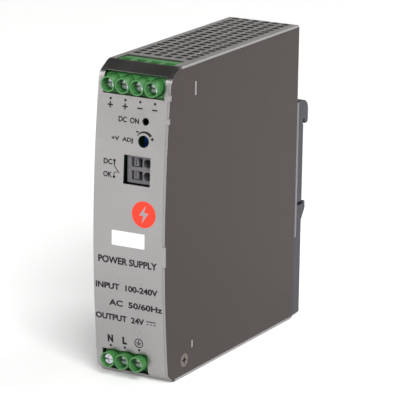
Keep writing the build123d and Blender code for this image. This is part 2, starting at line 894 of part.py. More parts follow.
def make_signal_button(z):
    """A release button with a small slot in its face."""
    front = signal_front + button_sink
    back = signal_clip_front - button_travel - button_sink
    with BuildPart() as button:
        block(
            (button_left_x, button_right_x),
            depth_span(front, back),
            (z - button_height / 2, z + button_height / 2),
        )
        chamfer(button.faces().sort_by(Axis.Y)[0].edges(), edge_softening)
        middle_x = (button_left_x + button_right_x) / 2
        block(
            (middle_x - button_slot / 2, middle_x + button_slot / 2),
            depth_span(front - sheet, front + drive_slot),
            (z - button_height / 3, z + button_height / 3),
            Mode.SUBTRACT,
        )
    return button.part


def make_signal_clip(z):
    """The bent leaf spring that holds a signal wire."""
    near_y = front_y + signal_clip_front + 2 * signal_clip_strip
    far_y = front_y + signal_clip_front + signal_clip_room - signal_clip_strip
    far_x = signal_wire_x + signal_wire_radius - 2 * signal_clip_strip
    low_z = z - button_height / 2 + button_gap
    with BuildPart() as clip:
        with BuildSketch(Plane.XY.offset(low_z)):
            with BuildLine() as strip:
                Polyline((signal_wire_x - signal_wire_radius, far_y - 2 * signal_clip_strip),
                         (button_right_x, near_y),
                         (button_left_x + signal_clip_strip, near_y),
                         (button_left_x + signal_clip_strip, far_y),
                         (far_x, far_y))
            trace(line_width=signal_clip_strip)
        extrude(amount=button_height - 2 * button_gap)
    return clip.part


# ---------------------------------------------------------------- rail clip
def make_rail_bracket():
    """The plated channel screwed to the back, which holds the clip's foot."""
    flange_x = clip_half - bracket_sheet
    with BuildPart() as bracket:
        block((-clip_half, clip_half), behind_case(0, bracket_depth),
              (bracket_bottom_z, foot_top_z - bracket_end_gap))
        block((-flange_x, flange_x), behind_case(bracket_sheet, bracket_depth + sheet),
              (0, case_height), Mode.SUBTRACT)
        with BuildSketch(facing_back(bracket_sheet)):
            for z in foot_screw_zs:
                with Locations((0, z)):
                    Circle(screw_radius + screw_hole_gap)
        extrude(amount=-bracket_sheet, mode=Mode.SUBTRACT)
    return bracket.part


def make_rail_foot():
    """The moulded foot: a fixed hook above the rail and a guide for the latch below it."""
    core_x = clip_half - bracket_sheet - slide_gap
    core_front = bracket_sheet + slide_gap / 2
    deck_bottom = latch_top_z + 2 * slide_gap
    hook_bottom = rail_top_z - rail_overlap
    hook_root = rail_top_z + rail_play
    hook_back = rail_stand_off + hook_reach
    lip_front = rail_stand_off + rail_edge_thickness + slide_gap
    neck_back = foot_base_depth + guide_neck
    guide_z = (guide_bottom_z, latch_tooth_bottom_z - latch_travel - 2 * slide_gap)
    spring_x = spring_radius + spring_wire
    with BuildPart() as foot:
        block((-core_x, core_x), behind_case(core_front, foot_base_depth),
              (foot_bottom_z, foot_top_z - bracket_sheet))
        block((-clip_half, clip_half), behind_case(foot_base_depth, rail_stand_off),
              (deck_bottom, foot_top_z))
        block((-clip_half, clip_half), behind_case(foot_base_depth, hook_back),
              (hook_root, foot_top_z))
        block((-clip_half, clip_half), behind_case(lip_front, hook_back),
              (hook_bottom, hook_root))
        hook_edges = foot.edges().filter_by(Axis.X).group_by(Axis.Y)[-1].sort_by(Axis.Z)
        fillet(hook_edges[-1], hook_back_rounding)
        fillet(hook_edges[0], hook_tip_rounding)
        # the seat steps back under the hook, so that a rail can tilt in
        block((-clip_half, clip_half), behind_case(rail_stand_off - seat_relief, lip_front),
              (hook_bottom - slide_gap, hook_root), Mode.SUBTRACT)
        # a T-shaped guide, split for the spring, which the latch slides on
        for side in (-1, 1):
            block((side * spring_x, side * guide_width / 2),
                  behind_case(foot_base_depth, neck_back), guide_z)
            block((side * spring_x, side * (guide_width / 2 + guide_lip)),
                  behind_case(neck_back, neck_back + guide_head), guide_z)
        # room for the spring
        block((-spring_x, spring_x), behind_case(spring_depth - spring_x, foot_base_depth),
              (spring_bottom_z, latch_tooth_bottom_z), Mode.SUBTRACT)
        # sunk holes for the two fixing screws
        with BuildSketch(facing_back(rail_stand_off)):
            for z in foot_screw_zs:
                with Locations((0, z)):
                    Circle(countersunk_head_radius + 2 * screw_hole_gap)
        extrude(amount=-2 * screw_radius, mode=Mode.SUBTRACT)
        with BuildSketch(facing_back(rail_stand_off)):
            for z in foot_screw_zs:
                with Locations((0, z)):
                    Circle(screw_radius + screw_hole_gap)
        extrude(amount=-rail_stand_off, mode=Mode.SUBTRACT)
    return foot.part


def make_rail_latch():
    """The sliding latch: a tooth, a body that wraps round the guide, and a tail."""
    tooth_back = rail_stand_off + latch_tooth_reach
    lip_front = rail_stand_off + rail_edge_thickness + slide_gap
    shelf = rail_bottom_z - slide_gap
    front = foot_base_depth + slide_gap
    back = rail_stand_off - slide_gap
    tip = 2 * rail_overlap / 3
    tail_top = foot_bottom_z - 2 * slide_gap
    cheek_x = (clip_half - bracket_sheet, clip_half)
    lip_back = foot_base_depth + guide_neck - slide_gap
    head_back = foot_base_depth + guide_neck + guide_head + slide_gap
    lug_x = spring_radius + spring_wire - slide_gap
    spring_x = spring_radius + spring_wire
    slot_z = (guide_bottom_z - slide_gap, latch_tooth_bottom_z - slide_gap)
    tooth = (
        (front, latch_tooth_bottom_z),
        (back, latch_tooth_bottom_z),
        (tooth_back, latch_tooth_bottom_z + latch_tooth_crest),
        (tooth_back, latch_top_z - tip),
        (tooth_back - tip, latch_top_z),
        (lip_front, latch_top_z),
        (lip_front, shelf),
        (front, shelf),
    )
    with BuildPart() as latch:
        with BuildSketch(Plane.YZ.offset(-clip_half)):
            with BuildLine():
                Polyline(*[(back_y + depth, z) for depth, z in tooth], close=True)
            make_face()
        extrude(amount=2 * clip_half)
        block((-clip_half, clip_half), behind_case(front, back), (tail_top, latch_tooth_bottom_z))
        block((-clip_half, clip_half), behind_case(bracket_sheet, back),
              (latch_tail_bottom_z, tail_top))
        fillet(latch.faces().sort_by(Axis.Z)[0].edges().filter_by(Axis.X), 2 * edge_softening)
        # cheeks beside the foot, and the two halves of the slot that hold the guide
        for side in (-1, 1):
            block((side * cheek_x[0], side * cheek_x[1]), behind_case(bracket_sheet, front),
                  (tail_top, bracket_bottom_z - 2 * slide_gap))
            neck_x = (side * lug_x, side * (guide_width / 2 + slide_gap))
            head_x = (side * lug_x, side * (guide_width / 2 + guide_lip + slide_gap))
            block(neck_x, behind_case(front, lip_back), slot_z, Mode.SUBTRACT)
            block(head_x, behind_case(lip_back, head_back), slot_z, Mode.SUBTRACT)
        # pocket for the spring and a blind slot for a screwdriver, open below
        block((-spring_x, spring_x), behind_case(front, spring_depth + spring_x),
              (spring_bottom_z - latch_travel - slide_gap, spring_top_z), Mode.SUBTRACT)
        slot_x = (-driver_slot_width / 2, driver_slot_width / 2)
        slot_y = behind_case(bracket_sheet + driver_slot_wall, back - driver_slot_wall)
        block(slot_x, slot_y, (0, latch_tail_bottom_z + driver_slot_height), Mode.SUBTRACT)
    return latch.part


def make_latch_spring():
    """The wound spring that pushes the latch up against the rail."""
    length = spring_top_z - spring_bottom_z - spring_wire
    base = (0, back_y + spring_depth, spring_bottom_z + spring_wire / 2)
    with BuildPart() as spring:
        with BuildLine():
            coil = Helix(length / spring_turns, length, spring_radius, center=base)
        with BuildSketch(Plane(origin=coil @ 0, z_dir=coil % 0)):
            Circle(spring_wire / 2)
        sweep(is_frenet=True)
    return spring.part


def make_foot_screw(z):
    """A cylinder-head screw through foot and bracket into the case's pressed nut."""
    head_back = rail_stand_off - slide_gap
    head_front = rail_stand_off - 2 * screw_radius
    with BuildPart() as screw:
        with BuildSketch(facing_back(head_back)):
            with Locations((0, z)):
                Circle(countersunk_head_radius)
        extrude(amount=head_front - head_back)
        with BuildSketch(facing_back(head_back)):
            with Locations((0, z)):
                Circle(screw_radius)
        extrude(amount=-(head_back + 3 * sheet))
        with BuildSketch(facing_back(head_back)):
            with Locations((0, z)):
                Rectangle(2 * screw_radius + drive_slot, drive_slot)
                Rectangle(drive_slot, 2 * screw_radius + drive_slot)
        extrude(amount=-countersunk_head_depth, mode=Mode.SUBTRACT)
    return screw.part


# ---------------------------------------------------------------- parts on the main board
def make_round_can(x, y, low_z, radius, length):
    """A capacitor can lying along Z, with its crimped groove near the lower end."""
    groove = radius / 8
    with BuildPart() as can:
        with BuildSketch(Plane.XY.offset(low_z)):
            with Locations((x, y)):
                Circle(radius)
        extrude(amount=length)
        fillet(can.edges().filter_by(GeomType.CIRCLE), groove)
        with BuildSketch(Plane.XY.offset(low_z + 3 * groove)):
            with Locations((x, y)):
                Circle(radius)
                Circle(radius - groove / 2, mode=Mode.SUBTRACT)
        extrude(amount=groove, mode=Mode.SUBTRACT)
    return can.part


def make_toroid(x_span, y, z, radius, hole_radius):
    """A wound ring core standing on edge."""
    with BuildPart() as ring:
        with BuildSketch(Plane.YZ.offset(x_span[0])):
            with Locations((y, z)):
                Circle(radius)
                Circle(hole_radius, mode=Mode.SUBTRACT)
        extrude(amount=x_span[1] - x_span[0])
        fillet(ring.edges().filter_by(GeomType.CIRCLE), (radius - hole_radius) / 4)
    return ring.part


def make_slab(x_span, y_span, z_span, rounding):
    """A plain moulded body with rounded upright edges."""
    with BuildPart() as body:
        block(x_span, y_span, z_span)
        fillet(body.edges().filter_by(Axis.X), rounding)
    return body.part


def make_fuse(x, y, z_span, radius, cap_length):
    """A tubular fuse with a metal cap at each end."""
    with BuildPart() as fuse:
        with BuildSketch(Plane.XY.offset(z_span[0])):
            with Locations((x, y)):
                Circle(radius)
        extrude(amount=z_span[1] - z_span[0])
        for low_z in (z_span[0], z_span[1] - cap_length):
            with BuildSketch(Plane.XY.offset(low_z)):
                with Locations((x, y)):
                    Circle(radius + fuse_cap_wall)
            extrude(amount=cap_length)
    return fuse.part


def make_transformer_core(x_span, y_span, z_span, leg):
    """The closed ferrite frame round the transformer's winding."""
    middle_y = (y_span[0] + y_span[1]) / 2
    with BuildPart() as core:
        block(x_span, y_span, z_span)
        for side in (-1, 1):
            near_y = middle_y + side * leg
            far_y = y_span[(side + 1) // 2] - side * leg / 2
            low_z, high_z = z_span
            block(x_span, (near_y, far_y), (low_z + leg, high_z - leg), Mode.SUBTRACT)
    return core.part


def make_transformer_winding(x_span, y_span, z_span, leg):
    """The wound bobbin on the core's middle leg."""
    overhang = leg / 2
    gap = winding_gap
    middle_y = (y_span[0] + y_span[1]) / 2
    room = (y_span[1] - y_span[0]) / 2 - leg / 2 - gap
    low_z = z_span[0] + leg + gap
    high_z = z_span[1] - leg - gap
    with BuildPart() as winding:
        block((x_span[0] - overhang, x_span[1] + overhang), (middle_y - room, middle_y + room),
              (low_z, high_z))
        fillet(winding.edges().filter_by(Axis.Z), overhang / 2)
        block((x_span[0] - gap, x_span[1] + gap), (middle_y - leg - gap, middle_y + leg + gap),
              (low_z - gap, high_z + gap), Mode.SUBTRACT)
    return winding.part


def make_heat_spreader():
    """The aluminium angle that carries the power transistors' heat to the left wall."""
    wall_x = sheet - half_width
    plate_y = share_span(spreader_span)
    lip_y = (plate_y[1] - spreader_sheet, plate_y[1])
    with BuildPart() as spreader:
        block((wall_x, wall_x + spreader_sheet), plate_y, spreader_height_span)
        block((wall_x, wall_x + spreader_lip), lip_y, spreader_height_span)
    return spreader.part


# ---------------------------------------------------------------- build everything
blocks = (
    ("output", output_centre_x, output_poles, output_axis_z, 1),
    ("input", input_centre_x, input_poles, input_axis_z, -1),
)
for name, centre_x, poles, axis_z, wire_side in blocks:
    save(make_terminal_housing(centre_x, poles, axis_z, wire_side), f"{name}_terminal_housing")
    for number, pole_x in enumerate(pole_xs(centre_x, poles), start=1):
        loose = name == "input" and number == 1
        sink = loose_screw_sink if loose else clamp_screw_sink
        save(make_clamp_screw(pole_x, axis_z, sink), f"{name}_clamp_screw_{number}")
        save(make_cage(pole_x, axis_z), f"{name}_cage_{number}")
        save(make_contact(pole_x, axis_z, wire_side), f"{name}_contact_{number}")

save(make_output_board(), "output_board")
save(make_input_board(), "input_board")
save(make_main_board(), "main_board")
save(make_insulating_sheet(), "insulating_sheet")
save(make_indicator(), "indicator_lamp")
save(make_trimmer_body(), "trimmer_body")
save(make_trimmer_rotor(), "trimmer_rotor")
save(make_signal_housing(), "signal_housing")
for number, row_z in enumerate(signal_rows(), start=1):
    save(make_signal_button(row_z), f"signal_button_{number}")
    save(make_signal_clip(row_z), f"signal_clip_{number}")

save(make_rail_bracket(), "rail_bracket")
save(make_rail_foot(), "rail_foot")
save(make_rail_latch(), "rail_latch")
save(make_latch_spring(), "latch_spring")
for number, screw_z in enumerate(foot_screw_zs, start=1):
    save(make_foot_screw(screw_z), f"foot_screw_{number}")
for number, (pillar_y, pillar_z) in enumerate(pillar_places, start=1):
    head_place = (-half_width, pillar_y, pillar_z)
    save(make_pillar(pillar_y, pillar_z), f"board_pillar_{number}")
    save(make_countersunk_screw(head_place, (-1, 0, 0), pillar_screw_length),
         f"pillar_screw_{number}")
cover_screw_place = (half_width, front_y + cover_screw_offset, cover_screw_z)
save(make_countersunk_screw(cover_screw_place, (1, 0, 0), cover_screw_length), "cover_screw")

bulk_x = main_board_x - bulk_can_radius - part_gap
bulk_share, bulk_bottom_z = bulk_can_place
save(make_round_can(bulk_x, share_y(bulk_share), bulk_bottom_z, bulk_can_radius,
                    bulk_can_length), "bulk_capacitor")
can_x = main_board_x - output_can_radius - part_gap
for number, can_share in enumerate(output_can_shares, start=1):
    can = make_round_can(can_x, share_y(can_share), output_can_bottom_z, output_can_radius,
                         output_can_length)
    save(can, f"output_capacitor_{number}")
choke_x = (main_board_x - choke_width, main_board_x)
chokes = (
    ("input_choke", input_choke_place, input_choke_radius),
    ("output_choke", output_choke_place, output_choke_radius),
)
for name, (choke_share, choke_z), choke_radius in chokes:
    choke = make_toroid(choke_x, share_y(choke_share), choke_z, choke_radius, choke_hole_radius)
    save(choke, name)
slabs = (
    ("filter_capacitor", filter_width, filter_span, filter_height_span, filter_rounding),
    ("rectifier", rectifier_width, rectifier_span, rectifier_height_span, rectifier_rounding),
)
for name, slab_width, slab_span, slab_z, rounding in slabs:
    slab_x = (main_board_x - slab_width, main_board_x)
    save(make_slab(slab_x, share_span(slab_span), slab_z, rounding), name)
fuse_x = main_board_x - fuse_radius - fuse_cap_wall - part_gap
save(make_fuse(fuse_x, share_y(fuse_share), fuse_height_span, fuse_radius, fuse_cap_length),
     "fuse")
core_right_x = main_board_x - core_board_room
core_sizes = ((core_right_x - core_width, core_right_x), share_span(core_span),
              core_height_span, core_leg)
save(make_transformer_core(*core_sizes), "transformer_core")
save(make_transformer_winding(*core_sizes), "transformer_winding")
save(make_heat_spreader(), "heat_spreader")
relay_left_x = sheet - half_width + relay_left_room
relay_front = front_board + board + front_board_gap
save(make_slab((relay_left_x, relay_left_x + relay_width),
               depth_span(relay_front, relay_front + relay_width),
               relay_height_span, rectifier_rounding), "signal_relay")

save(make_chassis(), "chassis")
save(make_side_plate(), "side_plate")
print(len(written_nodes), "pieces written")
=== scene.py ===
"""The looks of a slim power supply that clips onto a 35 mm mounting rail.

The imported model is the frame: +X is the right side seen from the front, -Y the front, +Z up, in
metres.  Sizes in this file are written in millimetres and turned to metres by mm().
"""

import logging
import math
from dataclasses import dataclass, field
from enum import Enum
from typing import Any, Callable, NamedTuple

import bpy
from mathutils import Matrix, Vector


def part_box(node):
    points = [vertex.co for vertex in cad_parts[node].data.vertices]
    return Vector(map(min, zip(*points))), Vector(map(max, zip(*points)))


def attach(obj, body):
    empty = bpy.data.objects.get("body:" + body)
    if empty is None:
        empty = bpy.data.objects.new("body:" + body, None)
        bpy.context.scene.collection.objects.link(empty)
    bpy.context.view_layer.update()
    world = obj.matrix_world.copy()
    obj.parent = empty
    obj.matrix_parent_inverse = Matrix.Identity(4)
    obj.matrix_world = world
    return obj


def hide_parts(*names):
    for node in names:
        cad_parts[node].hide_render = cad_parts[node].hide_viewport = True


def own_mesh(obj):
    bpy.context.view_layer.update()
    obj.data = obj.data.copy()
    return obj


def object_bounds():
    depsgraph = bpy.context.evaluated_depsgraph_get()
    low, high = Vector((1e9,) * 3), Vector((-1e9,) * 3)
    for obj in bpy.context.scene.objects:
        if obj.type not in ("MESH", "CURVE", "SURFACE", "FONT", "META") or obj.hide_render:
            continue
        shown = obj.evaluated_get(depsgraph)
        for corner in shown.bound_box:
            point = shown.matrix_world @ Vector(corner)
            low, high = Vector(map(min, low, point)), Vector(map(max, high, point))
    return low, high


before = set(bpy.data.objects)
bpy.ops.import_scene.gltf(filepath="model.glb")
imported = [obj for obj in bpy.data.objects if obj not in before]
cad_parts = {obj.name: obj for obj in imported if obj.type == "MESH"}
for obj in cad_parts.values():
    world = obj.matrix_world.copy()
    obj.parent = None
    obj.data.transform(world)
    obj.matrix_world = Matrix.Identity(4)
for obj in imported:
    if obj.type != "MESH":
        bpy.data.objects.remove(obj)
CAD_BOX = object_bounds()

LOG = logging.getLogger("rail_supply")
Point = tuple[float, float]
Outline = list[Point]


# ---------------------------------------------------------------- small helpers
def mm(value: float) -> float:
    """Turns millimetres into metres."""
    return value / 1000.0


def linear(colour: str) -> tuple[float, float, float, float]:
    """Turns an sRGB hex colour into linear red, green, blue and full alpha.

    Args:
        colour: Six hex digits with a leading hash.

    Returns:
        The linear colour that a shader socket takes.
    """
    shares = (int(colour[place:place + 2], 16) / 255.0 for place in (1, 3, 5))
    red, green, blue = (
        share / 12.92 if share <= 0.04045 else ((share + 0.055) / 1.055) ** 2.4
        for share in shares
    )
    return red, green, blue, 1.0


def add_node(tree: bpy.types.NodeTree, kind: str, inputs: dict[Any, Any] | None = None,
             **settings: Any) -> bpy.types.Node:
    """Adds one node with its settings, values and incoming links.

    Args:
        tree: The node tree that gets the node.
        kind: The node's type name.
        inputs: Socket name or number, with the value or the output socket that feeds it.
        **settings: Properties of the node itself.

    Returns:
        The new node.
    """
    node = tree.nodes.new(kind)
    for name, value in settings.items():
        setattr(node, name, value)
    for key, value in (inputs or {}).items():
        if isinstance(value, bpy.types.NodeSocket):
            tree.links.new(value, node.inputs[key])
        else:
            node.inputs[key].default_value = value
    return node


def deselect_all() -> None:
    """Leaves nothing selected and nothing active."""
    for chosen in list(bpy.context.selected_objects):
        chosen.select_set(False)
    bpy.context.view_layer.objects.active = None


def make_active(piece: bpy.types.Object) -> None:
    """Selects one object alone and makes it the active one."""
    deselect_all()
    piece.select_set(True)
    bpy.context.view_layer.objects.active = piece


def settle_place(piece: bpy.types.Object) -> None:
    """Moves an object's place, turn and scale into its mesh."""
    make_active(piece)
    bpy.ops.object.transform_apply(location=True, rotation=True, scale=True)


def hand_over(piece: bpy.types.Object, name: str, body: str,
              material: bpy.types.Material) -> bpy.types.Object:
    """Names and dresses a finished piece, and lets it ride on its body.

    Args:
        piece: The finished mesh object, with its place in its mesh.
        name: The piece's name.
        body: The body it moves with.
        material: The finish.

    Returns:
        The same object.
    """
    piece.name = name
    piece.data.name = name
    piece.data.materials.clear()
    piece.data.materials.append(material)
    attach(piece, body)
    LOG.info("piece %s rides on %s", name, body)
    return piece


def dress(node: str, material: bpy.types.Material) -> None:
    """Gives a carried-over node its finish.

    Args:
        node: The node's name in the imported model.
        material: The finish.
    """
    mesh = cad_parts[node].data
    mesh.materials.clear()
    mesh.materials.append(material)
    LOG.info("node %s wears %s", node, material.name)


# ---------------------------------------------------------------- finishes
class Grain(Enum):
    """How a metal's surface was worked."""

    SATIN = (1.0, 1.0, 1.0)
    DRAWN_UPRIGHT = (1.0, 1.0, 0.04)
    TURNED = (0.6, 1.0, 0.6)


@dataclass(frozen=True)
class PlatedSteel:
    """Steel sheet or turned steel under a thin bright plating.

    The plating gives clear but soft reflections; its fine grain breaks them up a little, and
    handling leaves slow, faint changes of sheen across a panel.
    """

    name: str
    colour: str
    roughness: float
    grain: Grain = Grain.SATIN
    grain_mm: float = 0.35
    cloud_mm: float = 14.0
    cloud_share: float = 0.06
    edge_mm: float = 0.18
    bump_mm: float = 0.0025
    # a paler colour for the faces between these two X values, the sheet's edges: a painted
    # highlight
    highlight_colour: str = ""
    highlight_x_mm: tuple[float, float] = (15.05, 15.93)

    def build(self) -> bpy.types.Material:
        """Builds the material.

        Returns:
            A material that reads Object coordinates only.
        """
        material = bpy.data.materials.new(self.name)
        material.use_nodes = True
        tree = material.node_tree
        tree.nodes.clear()
        place = add_node(tree, "ShaderNodeTexCoord").outputs["Object"]
        stretched = add_node(tree, "ShaderNodeMapping",
                             {"Vector": place, "Scale": self.grain.value})
        grain = add_node(tree, "ShaderNodeTexNoise",
                         {"Vector": stretched.outputs["Vector"], "Scale": 1.0 / mm(self.grain_mm),
                          "Detail": 3.0, "Roughness": 0.6})
        cloud = add_node(tree, "ShaderNodeTexNoise",
                         {"Vector": place, "Scale": 1.0 / mm(self.cloud_mm), "Detail": 4.0})
        roughness = add_node(tree, "ShaderNodeMapRange",
                             {"Value": cloud.outputs["Fac"], "From Min": 0.3, "From Max": 0.7,
                              "To Min": self.roughness * 0.88, "To Max": self.roughness * 1.12})
        clean = linear(self.colour)
        dull = tuple(part * (1.0 - 2.0 * self.cloud_share) for part in clean[:3]) + (1.0,)
        both = add_node(tree, "ShaderNodeMath",
                        {0: cloud.outputs["Fac"], 1: grain.outputs["Fac"]}, operation="MULTIPLY")
        tint = add_node(tree, "ShaderNodeMapRange",
                        {"Value": both.outputs["Value"], "From Min": 0.1, "From Max": 0.4})
        colour = add_node(tree, "ShaderNodeMix",
                          {"Factor": tint.outputs["Result"], "A": dull, "B": clean},
                          data_type="RGBA")
        if self.highlight_colour:
            # the sheet's edges, between its two faces, get a paler colour: a painted highlight for
            # the light they catch
            low, high = self.highlight_x_mm
            across = add_node(tree, "ShaderNodeSeparateXYZ", {"Vector": place})
            above = add_node(tree, "ShaderNodeMath",
                             {0: across.outputs["X"], 1: mm(low)}, operation="GREATER_THAN")
            below = add_node(tree, "ShaderNodeMath",
                             {0: across.outputs["X"], 1: mm(high)}, operation="LESS_THAN")
            painted_highlight = add_node(tree, "ShaderNodeMath",
                            {0: above.outputs["Value"], 1: below.outputs["Value"]},
                            operation="MULTIPLY")
            colour = add_node(tree, "ShaderNodeMix",
                              {"Factor": painted_highlight.outputs["Value"], "A": colour.outputs["Result"],
                               "B": linear(self.highlight_colour)}, data_type="RGBA")
        edge = add_node(tree, "ShaderNodeBevel", {"Radius": mm(self.edge_mm)}, samples=4)
        bump = add_node(tree, "ShaderNodeBump",
                        {"Height": grain.outputs["Fac"], "Distance": mm(self.bump_mm),
                         "Strength": 0.6, "Normal": edge.outputs["Normal"]})
        shader = add_node(tree, "ShaderNodeBsdfPrincipled",
                          {"Base Color": colour.outputs["Result"],
                           "Roughness": roughness.outputs["Result"],
                           "Metallic": 1.0, "Normal": bump.outputs["Normal"]})
        add_node(tree, "ShaderNodeOutputMaterial", {"Surface": shader.outputs["BSDF"]})
        return material


@dataclass(frozen=True)
class MouldedPlastic:
    """A thermoplastic moulding such as polyamide, ABS or polycarbonate.

    The tool's spark-eroded skin gives a fine even grain, and filler and regrind leave the
    colour a little cloudy.
    """

    name: str
    colour: str
    roughness: float
    grain_mm: float = 0.22
    bump_mm: float = 0.006
    cloud_mm: float = 3.0
    cloud_share: float = 0.10
    edge_mm: float = 0.15
    ior: float = 1.53
    transmission: float = 0.0
    subsurface: float = 0.0

    def build(self) -> bpy.types.Material:
        """Builds the material.

        Returns:
            A material that reads Object coordinates only.
        """
        material = bpy.data.materials.new(self.name)
        material.use_nodes = True
        tree = material.node_tree
        tree.nodes.clear()
        place = add_node(tree, "ShaderNodeTexCoord").outputs["Object"]
        grain = add_node(tree, "ShaderNodeTexVoronoi",
                         {"Vector": place, "Scale": 1.0 / mm(self.grain_mm)},
                         feature="SMOOTH_F1")
        cloud = add_node(tree, "ShaderNodeTexNoise",
                         {"Vector": place, "Scale": 1.0 / mm(self.cloud_mm), "Detail": 5.0})
        full = linear(self.colour)
        deep = tuple(part * (1.0 - 2.0 * self.cloud_share) for part in full[:3]) + (1.0,)
        share = add_node(tree, "ShaderNodeMapRange",
                         {"Value": cloud.outputs["Fac"], "From Min": 0.3, "From Max": 0.7})
        colour = add_node(tree, "ShaderNodeMix",
                          {"Factor": share.outputs["Result"], "A": deep, "B": full},
                          data_type="RGBA")
        roughness = add_node(tree, "ShaderNodeMapRange",
                             {"Value": grain.outputs["Distance"], "To Min": self.roughness,
                              "To Max": min(1.0, self.roughness * 1.25)})
        edge = add_node(tree, "ShaderNodeBevel", {"Radius": mm(self.edge_mm)}, samples=4)
        bump = add_node(tree, "ShaderNodeBump",
                        {"Height": grain.outputs["Distance"], "Distance": mm(self.bump_mm),
                         "Strength": 0.5, "Normal": edge.outputs["Normal"]})
        shader = add_node(tree, "ShaderNodeBsdfPrincipled",
                          {"Base Color": colour.outputs["Result"],
                           "Roughness": roughness.outputs["Result"],
                           "IOR": self.ior, "Transmission Weight": self.transmission,
                           "Subsurface Weight": self.subsurface,
                           "Subsurface Scale": mm(0.8),
                           "Normal": bump.outputs["Normal"]})
        add_node(tree, "ShaderNodeOutputMaterial", {"Surface": shader.outputs["BSDF"]})
        return material


@dataclass(frozen=True)
class ScreenInk:
    """Screen-printed ink: matt, slightly uneven in cover where the mesh of the screen was."""

    name: str
    colour: str
    roughness: float = 0.7
    gloss: float = 0.2
    mesh_mm: float = 0.25

    def build(self) -> bpy.types.Material:
        """Builds the material.

        Returns:
            A material that reads Object coordinates only.
        """
        material = bpy.data.materials.new(self.name)
        material.use_nodes = True
        tree = material.node_tree
        tree.nodes.clear()
        place = add_node(tree, "ShaderNodeTexCoord").outputs["Object"]
        cover = add_node(tree, "ShaderNodeTexNoise",
                         {"Vector": place, "Scale": 1.0 / mm(self.mesh_mm), "Detail": 2.0})
        full = linear(self.colour)
        thin = tuple(part * 1.25 + 0.01 for part in full[:3]) + (1.0,)
        colour = add_node(tree, "ShaderNodeMix",
                          {"Factor": cover.outputs["Fac"], "A": full, "B": thin},
                          data_type="RGBA")
        bump = add_node(tree, "ShaderNodeBump",
                        {"Height": cover.outputs["Fac"], "Distance": mm(0.004)})
        shader = add_node(tree, "ShaderNodeBsdfPrincipled",
                          {"Base Color": colour.outputs["Result"],
                           "Roughness": self.roughness,
                           "Specular IOR Level": self.gloss,
                           "Normal": bump.outputs["Normal"]})
        add_node(tree, "ShaderNodeOutputMaterial", {"Surface": shader.outputs["BSDF"]})
        return material


@dataclass(frozen=True)
class SolderMaskedBoard:
    """Glass-epoxy board under solder mask, with the copper tracks showing as paler lanes."""

    name: str
    mask: str
    track: str
    track_mm: float = 1.6

    def build(self) -> bpy.types.Material:
        """Builds the material.

        Returns:
            A material that reads Object coordinates only.
        """
        material = bpy.data.materials.new(self.name)
        material.use_nodes = True
        tree = material.node_tree
        tree.nodes.clear()
        place = add_node(tree, "ShaderNodeTexCoord").outputs["Object"]
        lanes = add_node(tree, "ShaderNodeTexVoronoi",
                         {"Vector": place, "Scale": 1.0 / mm(4.0 * self.track_mm)},
                         distance="CHEBYCHEV", feature="F1")
        band = add_node(tree, "ShaderNodeMath",
                        {0: lanes.outputs["Distance"], 1: 5.0}, operation="PINGPONG")
        share = add_node(tree, "ShaderNodeMapRange",
                         {"Value": band.outputs["Value"], "From Min": 0.30, "From Max": 0.34})
        colour = add_node(tree, "ShaderNodeMix",
                          {"Factor": share.outputs["Result"], "A": linear(self.mask),
                           "B": linear(self.track)}, data_type="RGBA")
        bump = add_node(tree, "ShaderNodeBump",
                        {"Height": share.outputs["Result"], "Distance": mm(0.03)})
        shader = add_node(tree, "ShaderNodeBsdfPrincipled",
                          {"Base Color": colour.outputs["Result"], "Roughness": 0.32,
                           "IOR": 1.5, "Normal": bump.outputs["Normal"]})
        add_node(tree, "ShaderNodeOutputMaterial", {"Surface": shader.outputs["BSDF"]})
        return material


@dataclass(frozen=True)
class WoundTape:
    """Polyester tape wound in turns round a bobbin; each turn's edge shows as a fine line."""

    name: str
    colour: str
    turn_mm: float = 1.4

    def build(self) -> bpy.types.Material:
        """Builds the material.

        Returns:
            A material that reads Object coordinates only.
        """
        material = bpy.data.materials.new(self.name)
        material.use_nodes = True
        tree = material.node_tree
        tree.nodes.clear()
        place = add_node(tree, "ShaderNodeTexCoord").outputs["Object"]
        # a wave's bands repeat every 2 pi / 20 of its scaled space
        turns = add_node(tree, "ShaderNodeTexWave",
                         {"Vector": place, "Scale": math.tau / 20.0 / mm(self.turn_mm),
                          "Distortion": 0.4}, bands_direction="Z")
        full = linear(self.colour)
        edge = tuple(part * 0.6 for part in full[:3]) + (1.0,)
        share = add_node(tree, "ShaderNodeMapRange",
                         {"Value": turns.outputs["Fac"], "From Min": 0.0, "From Max": 0.2})
        colour = add_node(tree, "ShaderNodeMix",
                          {"Factor": share.outputs["Result"], "A": edge, "B": full},
                          data_type="RGBA")
        bump = add_node(tree, "ShaderNodeBump",
                        {"Height": turns.outputs["Fac"], "Distance": mm(0.05)})
        shader = add_node(tree, "ShaderNodeBsdfPrincipled",
                          {"Base Color": colour.outputs["Result"], "Roughness": 0.28,
                           "IOR": 1.6, "Normal": bump.outputs["Normal"]})
        add_node(tree, "ShaderNodeOutputMaterial", {"Surface": shader.outputs["BSDF"]})
        return material


